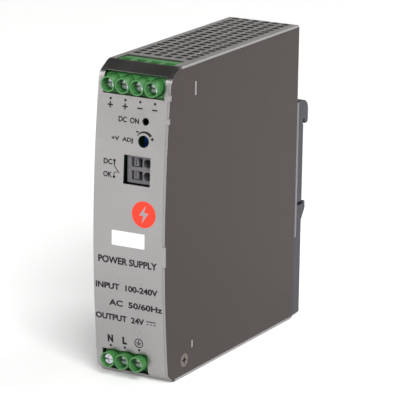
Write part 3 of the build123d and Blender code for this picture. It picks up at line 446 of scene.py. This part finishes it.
class FinishSet:
    """Every finish of the supply, built once and looked up by name."""

    # cold-rolled sheet, folded and satin plated: a pale grey that mirrors only broad, soft light
    CASE = PlatedSteel("satin_plated_case_steel", "#A3A1A1", 0.30, cloud_share=0.04)
    # the same sheet, coloured darker and browner than the case: painted shade on the side; its
    # edges get a paler colour, a painted highlight
    SIDE = PlatedSteel("satin_plated_side_steel", "#48403D", 0.32, highlight_colour="#9A989A")
    # a turned screw, so its sheen runs in rings; its colour, dark like the side's, is painted
    # shade
    COVER_SCREW = PlatedSteel("shade_darkened_cover_screw", "#7E756E", 0.30, Grain.TURNED, 0.5)
    # turned and nickel plated: the brightest and sharpest of the metals
    SCREW = PlatedSteel("nickel_plated_screw_steel", "#D3D5DA", 0.20, Grain.TURNED, 0.5,
                        edge_mm=0.10)
    # stamped and nickel plated: bright, with a slightly yellow cast
    CAGE = PlatedSteel("nickel_plated_cage_steel", "#B8B6AE", 0.30, edge_mm=0.10)
    # stamped brass under a thin coat of tin, through which the brass tints it
    CONTACT = PlatedSteel("tinned_contact_brass", "#CDBE96", 0.32, edge_mm=0.08)
    # drawn spring wire and rolled leaf: bright, with lines along the drawing
    SPRING = PlatedSteel("bright_spring_steel", "#9C9C9C", 0.25, Grain.DRAWN_UPRIGHT, 0.3)
    # zinc plated sheet: a cool grey, cloudy where the zinc crystals differ
    BRACKET = PlatedSteel("zinc_plated_bracket_steel", "#8E8D95", 0.38, cloud_share=0.12)
    # extruded aluminium, left bare: pale, with lines along the extrusion
    BAR = PlatedSteel("extruded_aluminium_bar", "#BFC1C3", 0.35, Grain.DRAWN_UPRIGHT)
    # brass turned from hexagonal bar: warm, with fine turning marks
    PILLAR = PlatedSteel("turned_pillar_brass", "#B5954F", 0.28, Grain.TURNED)
    # drawn copper under clear enamel: deep red-brown and glossy
    COPPER = PlatedSteel("enamelled_copper_wire", "#A8552A", 0.22, grain_mm=0.6)
    # injection-moulded polyamide in a spark-eroded tool: mid green, a soft low gloss
    GREEN = MouldedPlastic("moulded_green_polyamide", "#3F7E42", 0.38, subsurface=0.03)
    # injection-moulded polyamide, mid grey, a little duller than the green
    GREY = MouldedPlastic("moulded_grey_polyamide", "#5E5C60", 0.45)
    # glass-filled polyamide: near black, and cloudy where the fibres reach the skin
    CLIP = MouldedPlastic("moulded_clip_polyamide", "#35343C", 0.48, cloud_mm=8.0)
    # a trimmer's polyester body, moulded in a polished tool: saturated blue, glossy
    TRIMMER = MouldedPlastic("moulded_blue_trimmer", "#3A78E0", 0.30, bump_mm=0.002)
    # the trimmer's moulded rotor: off-white, smooth
    ROTOR = MouldedPlastic("moulded_white_rotor", "#D9DCE2", 0.35, bump_mm=0.002)
    # cast epoxy, tinted and clear, polished by its mould
    LAMP = MouldedPlastic("tinted_lamp_epoxy", "#4E8A50", 0.12, bump_mm=0.0,
                          transmission=0.7, ior=1.55)
    # cast polyester film: milky, smooth and slightly shiny
    FILM = MouldedPlastic("insulating_polyester_film", "#D9D7C8", 0.25, bump_mm=0.0)
    # printed sleeve shrunk round a capacitor's can: near black, glossy
    CAN = MouldedPlastic("shrunk_capacitor_sleeve", "#15181F", 0.28, bump_mm=0.001)
    # a film capacitor's moulded box: yellow and glossy
    BOX = MouldedPlastic("moulded_capacitor_box", "#C99B22", 0.30, bump_mm=0.002)
    # epoxy moulded round a rectifier's chips: black and dull
    EPOXY = MouldedPlastic("moulded_black_epoxy", "#17171A", 0.40)
    # pressed and sintered ferrite: dark grey, dull and faintly pitted
    FERRITE = MouldedPlastic("sintered_ferrite", "#2A2A2D", 0.62, grain_mm=0.4, bump_mm=0.02)
    # glazed ceramic tube: off-white with a wet gloss
    FUSE = MouldedPlastic("glazed_fuse_ceramic", "#C9C5BA", 0.22, bump_mm=0.001)
    # a relay's moulded cover: dark blue, glossy
    RELAY = MouldedPlastic("moulded_relay_case", "#2B3A66", 0.30, bump_mm=0.002)
    # coated paper: near white, matt, with the faintest tooth
    LABEL = MouldedPlastic("coated_label_paper", "#DADADB", 0.50, grain_mm=0.12,
                           bump_mm=0.003, cloud_share=0.01, edge_mm=0.03)
    # screen-printed inks: matt, with no shine of their own
    INK = ScreenInk("dark_screen_ink", "#151216")
    MARK = ScreenInk("red_orange_screen_ink", "#DA3624")
    # glass-epoxy board under a glossy dark green mask, its tracks a paler green
    BOARD = SolderMaskedBoard("solder_masked_board", "#0F3D22", "#1C6A3A")
    # polyester tape wound by machine: deep yellow and shiny, each turn's edge a thin line
    TAPE = WoundTape("yellow_winding_tape", "#C9A21E")

    def __init__(self) -> None:
        """Starts with no material built."""
        self._built: dict[str, bpy.types.Material] = {}

    def get(self, finish: Any) -> bpy.types.Material:
        """Builds a finish the first time, and gives the same material after that.

        Args:
            finish: One of this class's finishes.

        Returns:
            Its material.
        """
        if finish.name not in self._built:
            self._built[finish.name] = finish.build()
        return self._built[finish.name]


# ---------------------------------------------------------------- the bowed front
@dataclass(frozen=True)
class BowedFront:
    """The case's bowed front face, which every printed piece lies on."""

    low_z: float = 3.5
    high_z: float = 120.1
    bow: float = 3.7

    def surface_y(self, z: float) -> float:
        """Gives the front's place along Y at a height, all in millimetres.

        Args:
            z: The height.

        Returns:
            The surface's Y.
        """
        apex_y = CAD_BOX[0].y * 1000.0
        half_chord = (self.high_z - self.low_z) / 2
        radius = (half_chord**2 + self.bow**2) / (2 * self.bow)
        up = z - (self.high_z + self.low_z) / 2
        return apex_y + radius - math.sqrt(radius**2 - up**2)

    def lay_on(self, piece: bpy.types.Object, thickness: float) -> None:
        """Bends a flat piece, drawn in millimetres in the XY plane, onto the front.

        Args:
            piece: A mesh whose Z runs from minus to plus half its thickness.
            thickness: How far it stands off the front, in millimetres.
        """
        for vertex in piece.data.vertices:
            across, up, out = vertex.co
            stand = thickness if out > 0 else -thickness / 2
            vertex.co = (mm(across), mm(self.surface_y(up) - stand), mm(up))
        piece.data.update()


def ring_outline(centre: Point, radius: float, points: int = 40) -> Outline:
    """Gives a circle's points.

    Args:
        centre: The middle.
        radius: The radius.
        points: How many points.

    Returns:
        The closed outline.
    """
    turns = (math.tau * step / points for step in range(points))
    return [(centre[0] + radius * math.cos(turn), centre[1] + radius * math.sin(turn))
            for turn in turns]


def bar_outline(start: Point, end: Point, width: float) -> Outline:
    """Gives a straight bar's four corners.

    Args:
        start: One end of its middle line.
        end: The other end.
        width: The bar's width.

    Returns:
        The closed outline.
    """
    along = Vector((end[0] - start[0], end[1] - start[1])).normalized() * (width / 2)
    side = Vector((-along.y, along.x))
    corners = (Vector(start) - along - side, Vector(end) + along - side,
               Vector(end) + along + side, Vector(start) - along + side)
    return [(corner.x, corner.y) for corner in corners]


class Word(NamedTuple):
    """A printed word: its piece's name, what it says, and its place in millimetres."""

    name: str
    text: str
    left: float
    right: float
    middle_z: float
    height: float


CONTROL_WORDS = (
    Word("print_indicator_word", "DC  ON", -5.85, 3.1, 103.1, 2.15),
    Word("print_trimmer_word", "+V  ADJ", -8.6, 0.9, 95.3, 2.15),
    Word("print_signal_upper", "DC", -11.6, -7.75, 86.2, 2.15),
    Word("print_signal_lower", "OK", -11.6, -7.75, 81.2, 2.15),
)
RATING_WORDS = (
    Word("print_kind", "POWER SUPPLY", -13.5, 12.6, 47.6, 2.85),
    Word("print_input_rating", "INPUT  100-240V", -14.8, 12.7, 37.0, 2.5),
    Word("print_frequency", "AC  50/60Hz", -9.0, 14.6, 30.4, 2.5),
    Word("print_output_rating", "OUTPUT  24V", -15.2, 6.4, 24.3, 2.5),
)


@dataclass
class FrontPrint:
    """What is printed on or stuck to the front."""

    finishes: FinishSet
    front: BowedFront = field(default_factory=BowedFront)
    ink_mm: float = 0.05
    label_mm: float = 0.12
    dot_radius: float = 0.5
    sign_size: float = 2.3
    stroke: float = 0.55
    capital_share: float = 0.7
    letter_height: float = 3.1
    letter_weight: float = 0.06
    neutral_half_width: float = 1.25
    line_half_width: float = 0.95
    earth_ring_radii: Point = (1.9, 1.55)
    scale_radius: float = 3.25
    mark_centre: Point = (6.6, 67.5)
    mark_radius: float = 5.2
    current_sign_ends: Point = (7.6, 11.4)
    current_sign_stroke: float = 0.36
    output_poles: tuple[float, ...] = (-9.85, -3.35, 3.15, 9.6)
    input_poles: tuple[float, ...] = (-9.04, -2.69, 3.66)
    output_dot_z: float = 110.4
    output_sign_z: float = 108.0
    input_dot_z: float = 12.4
    input_sign_z: float = 15.3
    trimmer_place: Point = (5.47, 95.6)

    def flat_piece(self, name: str, outlines: list[Outline], thickness: float,
                   finish: Any) -> bpy.types.Object:
        """Makes one printed shape from flat outlines and lays it on the front.

        Args:
            name: The piece's name.
            outlines: Closed outlines in millimetres; one inside another is a hole.
            thickness: How far it stands off the front, in millimetres.
            finish: Its finish.

        Returns:
            The finished piece.
        """
        curve = bpy.data.curves.new(name, "CURVE")
        curve.dimensions = "2D"
        curve.fill_mode = "BOTH"
        curve.extrude = 0.5
        for outline in outlines:
            spline = curve.splines.new("POLY")
            spline.points.add(len(outline) - 1)
            for point, (across, up) in zip(spline.points, outline):
                point.co = (across, up, 0.0, 1.0)
            spline.use_cyclic_u = True
        piece = bpy.data.objects.new(name, curve)
        bpy.context.scene.collection.objects.link(piece)
        return self.printed(piece, name, thickness, finish)

    def printed(self, piece: bpy.types.Object, name: str, thickness: float,
                finish: Any) -> bpy.types.Object:
        """Turns a flat curve or text into a mesh on the front and hands it over.

        Args:
            piece: The curve or text object.
            name: The piece's name.
            thickness: How far it stands off the front, in millimetres.
            finish: Its finish.

        Returns:
            The finished piece.
        """
        make_active(piece)
        bpy.ops.object.convert(target="MESH")
        piece = bpy.context.view_layer.objects.active
        bpy.ops.object.mode_set(mode="EDIT")
        bpy.ops.mesh.select_all(action="SELECT")
        bpy.ops.mesh.remove_doubles(threshold=0.0005)
        bpy.ops.mesh.normals_make_consistent(inside=False)
        bpy.ops.object.mode_set(mode="OBJECT")
        self.front.lay_on(piece, thickness)
        return hand_over(piece, name, "case", self.finishes.get(finish))

    def word(self, word: Word, weight: float = 0.032) -> bpy.types.Object:
        """Prints a word that fills its width and height.

        Args:
            word: What it says, and where.
            weight: How much the strokes are fattened, as a share of the letter size.

        Returns:
            The finished piece.
        """
        deselect_all()
        bpy.ops.object.text_add()
        piece = bpy.context.view_layer.objects.active
        piece.data.body = word.text
        piece.data.size = word.height / self.capital_share
        piece.data.offset = weight * piece.data.size
        piece.data.extrude = 0.5
        piece.data.resolution_u = 4
        bpy.ops.object.convert(target="MESH")
        piece = bpy.context.view_layer.objects.active
        xs = [vertex.co.x for vertex in piece.data.vertices]
        ys = [vertex.co.y for vertex in piece.data.vertices]
        wide = (word.right - word.left) / (max(xs) - min(xs))
        tall = word.height / (max(ys) - min(ys))
        for vertex in piece.data.vertices:
            vertex.co.x = word.left + (vertex.co.x - min(xs)) * wide
            vertex.co.y = word.middle_z - word.height / 2 + (vertex.co.y - min(ys)) * tall
        return self.printed(piece, word.name, self.ink_mm, FinishSet.INK)

    def sign(self, centre: Point, size: float, plus: bool) -> list[Outline]:
        """Gives the outlines of a plus or a minus sign.

        Args:
            centre: Its middle.
            size: Its width.
            plus: Whether it has the upright stroke.

        Returns:
            One closed outline, so that strokes don't cancel where they cross.
        """
        half, thick = size / 2, self.stroke / 2
        across, up = centre
        if not plus:
            return [bar_outline((across - half + thick, up), (across + half - thick, up),
                                self.stroke)]
        return [[
            (across - half, up - thick), (across - thick, up - thick),
            (across - thick, up - half), (across + thick, up - half),
            (across + thick, up - thick), (across + half, up - thick),
            (across + half, up + thick), (across + thick, up + thick),
            (across + thick, up + half), (across - thick, up + half),
            (across - thick, up + thick), (across - half, up + thick),
        ]]

    def print_terminals(self) -> None:
        """Prints the dots and signs beside the screw terminals."""
        dots = [ring_outline((x, self.output_dot_z), self.dot_radius, 24)
                for x in self.output_poles]
        dots += [ring_outline((x, self.input_dot_z), self.dot_radius, 24)
                 for x in self.input_poles]
        self.flat_piece("print_terminal_dots", dots, self.ink_mm, FinishSet.INK)
        signs: list[Outline] = []
        for pole, x in enumerate(self.output_poles):
            signs += self.sign((x, self.output_sign_z), self.sign_size, pole < 2)
        self.flat_piece("print_output_signs", signs, self.ink_mm, FinishSet.INK)
        neutral_x, line_x, earth_x = self.input_poles
        for name, letter, x, half in (("print_neutral", "N", neutral_x, self.neutral_half_width),
                                      ("print_line", "L", line_x, self.line_half_width)):
            self.word(Word(name, letter, x - half, x + half, self.input_sign_z,
                           self.letter_height), self.letter_weight)
        middle = (earth_x, self.input_sign_z)
        earth = [ring_outline(middle, radius) for radius in self.earth_ring_radii]
        stem_top = self.input_sign_z + 1.15
        level = self.input_sign_z + 0.1
        earth.append(bar_outline((earth_x, stem_top), (earth_x, level + 0.18), 0.34))
        for row, half in enumerate((1.0, 0.65, 0.3)):
            height = level - 0.45 * row
            earth.append(bar_outline((earth_x - half, height), (earth_x + half, height), 0.26))
        self.flat_piece("print_earth", earth, self.ink_mm, FinishSet.INK)

    def print_controls(self) -> None:
        """Prints the words and symbols beside indicator, trimmer and signal terminal."""
        for word in CONTROL_WORDS:
            self.word(word)
        across, up = self.trimmer_place
        start, end = math.radians(147), math.radians(36)
        steps = 24
        turns = [start + (end - start) * step / steps for step in range(steps + 1)]
        inner_radius = self.scale_radius
        outer: Outline = []
        for step, turn in enumerate(turns):
            reach = inner_radius + 0.25 + 0.95 * step / steps
            outer.append((across + reach * math.cos(turn), up + reach * math.sin(turn)))
        inner = [(across + inner_radius * math.cos(turn), up + inner_radius * math.sin(turn))
                 for turn in reversed(turns)]
        signs = [outer + inner]
        signs += self.sign((across + 3.75, up + 1.35), 1.25, True)
        signs += self.sign((across - 2.85, up + 3.45), 1.1, False)
        self.flat_piece("print_trimmer_scale", signs, self.ink_mm, FinishSet.INK)
        contact_x, high_z, low_z = -6.85, 86.9, 80.5
        contact = [
            ring_outline((contact_x, high_z), 0.55, 20),
            ring_outline((contact_x, low_z), 0.55, 20),
            bar_outline((contact_x, high_z - 0.6), (contact_x, high_z - 2.1), 0.36),
            bar_outline((contact_x + 0.3, high_z - 2.5), (contact_x + 2.1, high_z - 4.5), 0.36),
            bar_outline((contact_x, low_z + 0.6), (contact_x, low_z + 1.7), 0.36),
            bar_outline((contact_x + 0.35, low_z + 1.9), (contact_x + 1.2, low_z + 1.9), 0.36),
        ]
        self.flat_piece("print_contact_symbol", contact, self.ink_mm, FinishSet.INK)

    def print_ratings(self) -> None:
        """Prints the lower lines in plain, general words."""
        for word in RATING_WORDS:
            self.word(word)
        # the sign for direct current: a full line over a broken one
        left, right = self.current_sign_ends
        dash = (right - left) / 5
        thick = self.current_sign_stroke
        high, low = 24.9, 23.8
        sign = [bar_outline((left, high), (right, high), thick)]
        sign += [bar_outline((start + thick / 2, low), (start + dash - thick / 2, low), thick)
                 for start in (left, left + 2 * dash, left + 4 * dash)]
        self.flat_piece("print_direct_current_sign", sign, self.ink_mm, FinishSet.INK)

    def print_mark(self) -> None:
        """Prints a plain disc with a bolt of lightning, which stands for no maker."""
        across, up = self.mark_centre
        bolt = [(0.9, 3.6), (-2.1, -0.5), (-0.2, -0.5), (-0.9, -3.6), (2.1, 0.7), (0.2, 0.7)]
        hole = [(across + x, up + y) for x, y in bolt]
        disc = ring_outline((across, up), self.mark_radius, 64)
        self.flat_piece("print_mark", [disc, hole], self.ink_mm, FinishSet.MARK)

    def stick_label(self) -> None:
        """Sticks the blank white label on: a plane, rounded, thickened and bent to the bow."""
        left, right, low, high = -7.35, 7.1, 53.8, 59.7
        deselect_all()
        bpy.ops.mesh.primitive_plane_add(size=1.0)
        piece = bpy.context.view_layer.objects.active
        piece.scale = (right - left, high - low, 1.0)
        piece.location = ((left + right) / 2, (low + high) / 2, -0.5)
        settle_place(piece)
        bpy.ops.object.mode_set(mode="EDIT")
        bpy.ops.mesh.select_all(action="SELECT")
        bpy.ops.mesh.bevel(offset=0.3, segments=4, affect="VERTICES")
        bpy.ops.mesh.select_all(action="SELECT")
        bpy.ops.mesh.extrude_region_move(TRANSFORM_OT_translate={"value": (0.0, 0.0, 1.0)})
        bpy.ops.mesh.select_all(action="SELECT")
        bpy.ops.mesh.normals_make_consistent(inside=False)
        bpy.ops.object.mode_set(mode="OBJECT")
        self.front.lay_on(piece, self.label_mm)
        hand_over(piece, "blank_label", "case", self.finishes.get(FinishSet.LABEL))

    def build(self) -> None:
        """Makes every printed piece."""
        self.print_terminals()
        self.print_controls()
        self.print_ratings()
        self.print_mark()
        self.stick_label()


# ---------------------------------------------------------------- dressed sub-assemblies
@dataclass
class Enclosure:
    """The folded case and its side plate."""

    finishes: FinishSet

    def build(self) -> None:
        """Dresses the sheet metal and its screws."""
        dress("chassis", self.finishes.get(FinishSet.CASE))
        dress("side_plate", self.finishes.get(FinishSet.SIDE))
        dress("cover_screw", self.finishes.get(FinishSet.COVER_SCREW))
        dress("pillar_screw_1", self.finishes.get(FinishSet.SCREW))
        dress("pillar_screw_2", self.finishes.get(FinishSet.SCREW))


@dataclass
class TerminalBlock:
    """One row of screw terminals."""

    finishes: FinishSet
    side: str
    poles: int

    def build(self) -> None:
        """Dresses the housing and each pole's screw, cage and contact."""
        dress(f"{self.side}_terminal_housing", self.finishes.get(FinishSet.GREEN))
        for pole in range(1, self.poles + 1):
            dress(f"{self.side}_clamp_screw_{pole}", self.finishes.get(FinishSet.SCREW))
            dress(f"{self.side}_cage_{pole}", self.finishes.get(FinishSet.CAGE))
            dress(f"{self.side}_contact_{pole}", self.finishes.get(FinishSet.CONTACT))


@dataclass
class FrontFittings:
    """Indicator, trimmer and the push-in signal terminal."""

    finishes: FinishSet

    def build(self) -> None:
        """Dresses the fittings behind the front's small openings."""
        dress("indicator_lamp", self.finishes.get(FinishSet.LAMP))
        dress("trimmer_body", self.finishes.get(FinishSet.TRIMMER))
        dress("trimmer_rotor", self.finishes.get(FinishSet.ROTOR))
        dress("signal_housing", self.finishes.get(FinishSet.GREY))
        for row in (1, 2):
            dress(f"signal_button_{row}", self.finishes.get(FinishSet.GREY))
            dress(f"signal_clip_{row}", self.finishes.get(FinishSet.SPRING))


@dataclass
class RailClip:
    """The bracket, foot, latch and spring that hold the supply on its rail."""

    finishes: FinishSet
    latch_travel_mm: float = 4.0

    def wind_spring(self) -> None:
        """Makes a smoothed copy of the latch spring that rides on the case, and hides the
        original.
        """
        deselect_all()
        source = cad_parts["latch_spring"]
        piece = source.copy()
        piece.data = source.data.copy()
        bpy.context.scene.collection.objects.link(piece)
        for key in list(piece.keys()):
            del piece[key]
        make_active(piece)
        bpy.ops.object.mode_set(mode="EDIT")
        bpy.ops.mesh.select_all(action="SELECT")
        bpy.ops.mesh.remove_doubles(threshold=mm(0.001))
        bpy.ops.object.mode_set(mode="OBJECT")
        bpy.ops.object.shade_smooth()
        hand_over(piece, "pressed_latch_spring", "case",
                  self.finishes.get(FinishSet.SPRING))
        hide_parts("latch_spring")
        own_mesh(piece)

    def build(self) -> None:
        """Dresses the clip."""
        self.wind_spring()
        dress("rail_bracket", self.finishes.get(FinishSet.BRACKET))
        dress("rail_foot", self.finishes.get(FinishSet.CLIP))
        dress("rail_latch", self.finishes.get(FinishSet.CLIP))
        dress("foot_screw_1", self.finishes.get(FinishSet.SCREW))
        dress("foot_screw_2", self.finishes.get(FinishSet.SCREW))


@dataclass
class ChokeWinding:
    """The copper turns on a ring core: one turn is modelled, and the rest are copies."""

    finishes: FinishSet
    core: str
    turns: int
    wire_mm: float = 0.9
    free_share: float = 0.12
    bore_share: float = 0.43
    stand_off_wires: float = 1.6
    squareness: float = 0.55
    tube_share: float = 0.12

    def build(self) -> None:
        """Winds the core's ring with copper turns and joins them into one piece."""
        low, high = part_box(self.core)
        middle = (low + high) / 2
        outer = (high.y - low.y) / 2
        inner = outer * self.bore_share
        depth = high.x - low.x
        wire = mm(self.wire_mm) / 2
        across = (outer - inner) / 2 + self.stand_off_wires * wire
        along = depth / 2 + self.stand_off_wires * wire
        deselect_all()
        bpy.ops.mesh.primitive_torus_add(major_segments=20, minor_segments=6,
                                         major_radius=1.0, minor_radius=self.tube_share)
        turn = bpy.context.view_layer.objects.active
        for vertex in turn.data.vertices:
            flat = Vector((vertex.co.x, vertex.co.y, 0.0))
            spoke = flat.normalized()
            bulge = (flat.length - 1.0) / self.tube_share * wire
            squared = max(abs(spoke.x), abs(spoke.y)) ** -self.squareness
            vertex.co = (spoke.x * (across * squared + bulge), spoke.y * (along * squared + bulge),
                         vertex.co.z / self.tube_share * wire)
        copies: list[bpy.types.Object] = []
        ring = (outer + inner) / 2
        for step in range(self.turns):
            share = self.free_share / 2 + (1 - self.free_share) * step / (self.turns - 1)
            angle = math.tau * share
            outward = Vector((0.0, math.cos(angle), math.sin(angle)))
            sideways = Vector((1.0, 0.0, 0.0))
            copy = turn.copy()
            copy.data = turn.data.copy()
            bpy.context.scene.collection.objects.link(copy)
            copy.matrix_world = Matrix.Translation(middle + outward * ring) @ Matrix(
                (outward, sideways, outward.cross(sideways))).transposed().to_4x4()
            copies.append(copy)
        bpy.data.objects.remove(turn)
        deselect_all()
        for copy in copies:
            copy.select_set(True)
        bpy.context.view_layer.objects.active = copies[0]
        bpy.ops.object.join()
        piece = bpy.context.view_layer.objects.active
        settle_place(piece)
        bpy.ops.object.shade_smooth()
        hand_over(piece, f"{self.core}_winding", "case",
                  self.finishes.get(FinishSet.COPPER))


@dataclass
class InnerParts:
    """The boards and everything that stands on them."""

    finishes: FinishSet

    def build(self) -> None:
        """Dresses the inner parts, which show through the vents and openings."""
        worn: dict[Any, tuple[str, ...]] = {
            FinishSet.BOARD: ("output_board", "input_board", "main_board"),
            FinishSet.FILM: ("insulating_sheet",),
            FinishSet.CAN: ("bulk_capacitor", "output_capacitor_1", "output_capacitor_2"),
            FinishSet.FERRITE: ("input_choke", "output_choke", "transformer_core"),
            FinishSet.TAPE: ("transformer_winding",),
            FinishSet.BOX: ("filter_capacitor",),
            FinishSet.EPOXY: ("rectifier",),
            FinishSet.FUSE: ("fuse",),
            FinishSet.BAR: ("heat_spreader",),
            FinishSet.RELAY: ("signal_relay",),
            FinishSet.PILLAR: ("board_pillar_1", "board_pillar_2"),
        }
        for finish, nodes in worn.items():
            for node in nodes:
                dress(node, self.finishes.get(finish))
        ChokeWinding(self.finishes, "input_choke", 16).build()
        ChokeWinding(self.finishes, "output_choke", 18).build()


# ---------------------------------------------------------------- studio
class Softbox(NamedTuple):
    """A square soft light: where it hangs, the point it faces, its side and its watts."""

    name: str
    place: tuple[float, float, float]
    target: tuple[float, float, float]
    size: float
    power: float


@dataclass
class Studio:
    """The pale floor, the soft lights and the camera."""

    floor_size: float = 8.0
    dim_height: float = 0.75
    horizon_level: float = 1.05
    overhead_level: float = 0.07
    dimming_power: float = 2.2
    room_colour: tuple[float, float, float, float] = (1.0, 0.97, 0.94, 1.0)
    floor_glow: float = 0.14
    softboxes: tuple[Softbox, ...] = (
        Softbox("key_softbox", (1.3, -1.3, 1.5), (0.0, 0.0, 0.06), 1.2, 52.0),
        Softbox("fill_softbox", (-1.6, -1.2, 0.9), (0.0, 0.0, 0.06), 1.4, 22.0),
        Softbox("back_softbox", (1.3, 1.9, 2.1), (-0.2, 1.2, 0.0), 2.0, 50.0),
    )
    camera_place: tuple[float, float, float] = (0.53900, -0.98163, 0.35339)
    camera_azimuth: float = 28.864
    camera_elevation: float = 14.726
    camera_roll: float = 0.896
    camera_lens: float = 261.416

    def make_floor(self) -> None:
        """Lays a large pale floor under the supply."""
        deselect_all()
        bpy.ops.mesh.primitive_plane_add(size=self.floor_size)
        floor = bpy.context.view_layer.objects.active
        floor.name = "studio_floor"
        # rolled matt paint on board: no gloss, and a little light of its own keeps it white
        material = bpy.data.materials.new("pale_studio_floor")
        material.use_nodes = True
        tree = material.node_tree
        tree.nodes.clear()
        shader = add_node(tree, "ShaderNodeBsdfPrincipled",
                          {"Base Color": (0.92, 0.92, 0.92, 1.0), "Roughness": 0.9,
                           "Specular IOR Level": 0.1,
                           "Emission Color": (1.0, 1.0, 1.0, 1.0),
                           "Emission Strength": self.floor_glow})
        add_node(tree, "ShaderNodeOutputMaterial", {"Surface": shader.outputs["BSDF"]})
        floor.data.materials.append(material)

    def make_world(self) -> None:
        """Surrounds the supply with a soft room, pale at the horizon and dim overhead."""
        world = bpy.data.worlds.new("soft_room")
        bpy.context.scene.world = world
        world.use_nodes = True
        tree = world.node_tree
        tree.nodes.clear()
        way = add_node(tree, "ShaderNodeTexCoord").outputs["Generated"]
        parts = add_node(tree, "ShaderNodeSeparateXYZ", {"Vector": way})
        lowness = add_node(tree, "ShaderNodeMapRange",
                           {"Value": parts.outputs["Z"], "From Max": self.dim_height,
                            "To Min": 1.0, "To Max": 0.0})
        fall = add_node(tree, "ShaderNodeMath",
                        {0: lowness.outputs["Result"], 1: self.dimming_power}, operation="POWER")
        level = add_node(tree, "ShaderNodeMath",
                         {0: fall.outputs["Value"], 1: self.horizon_level,
                          2: self.overhead_level}, operation="MULTIPLY_ADD")
        backdrop = add_node(tree, "ShaderNodeBackground",
                            {"Color": self.room_colour, "Strength": level.outputs["Value"]})
        add_node(tree, "ShaderNodeOutputWorld", {"Surface": backdrop.outputs["Background"]})

    def hang_softbox(self, softbox: Softbox) -> None:
        """Hangs one softbox.

        Args:
            softbox: The light.
        """
        data = bpy.data.lights.new(softbox.name, "AREA")
        data.shape = "SQUARE"
        data.size = softbox.size
        data.energy = softbox.power
        light = bpy.data.objects.new(softbox.name, data)
        bpy.context.scene.collection.objects.link(light)
        light.location = softbox.place
        aim = Vector(softbox.target) - Vector(softbox.place)
        light.rotation_euler = aim.to_track_quat("-Z", "Y").to_euler()

    def make_camera(self) -> None:
        """Sets the camera up with its place, direction, roll and lens."""
        data = bpy.data.cameras.new("main_camera")
        data.lens = self.camera_lens
        data.sensor_width = 36.0
        data.clip_start = 0.05
        data.clip_end = 50.0
        camera = bpy.data.objects.new("main_camera", data)
        bpy.context.scene.collection.objects.link(camera)
        azimuth = math.radians(self.camera_azimuth)
        elevation = math.radians(self.camera_elevation)
        roll = math.radians(self.camera_roll)
        back = Vector((math.sin(azimuth) * math.cos(elevation),
                       -math.cos(azimuth) * math.cos(elevation), math.sin(elevation)))
        level_right = Vector((math.cos(azimuth), math.sin(azimuth), 0.0))
        level_up = back.cross(level_right)
        right = math.cos(roll) * level_right + math.sin(roll) * level_up
        up = math.cos(roll) * level_up - math.sin(roll) * level_right
        turn = Matrix((right, up, back)).transposed().to_4x4()
        camera.matrix_world = Matrix.Translation(self.camera_place) @ turn
        bpy.context.scene.camera = camera

    def build(self) -> None:
        """Makes floor, room, lights and camera."""
        self.make_floor()
        self.make_world()
        for softbox in self.softboxes:
            self.hang_softbox(softbox)
        self.make_camera()
        bpy.context.scene.view_settings.view_transform = "Standard"


def main() -> None:
    """Builds the supply's looks in order."""
    logging.basicConfig(level=logging.INFO, format="%(message)s")
    finishes = FinishSet()
    steps: list[tuple[str, Callable[[], None]]] = [
        ("studio", Studio().build),
        ("enclosure", Enclosure(finishes).build),
        ("output terminals", TerminalBlock(finishes, "output", 4).build),
        ("input terminals", TerminalBlock(finishes, "input", 3).build),
        ("front fittings", FrontFittings(finishes).build),
        ("rail clip", RailClip(finishes).build),
        ("inner parts", InnerParts(finishes).build),
        ("front print", FrontPrint(finishes).build),
    ]
    for title, build in steps:
        LOG.info("building %s", title)
        build()
    deselect_all()


if __name__ == "__main__":
    main()
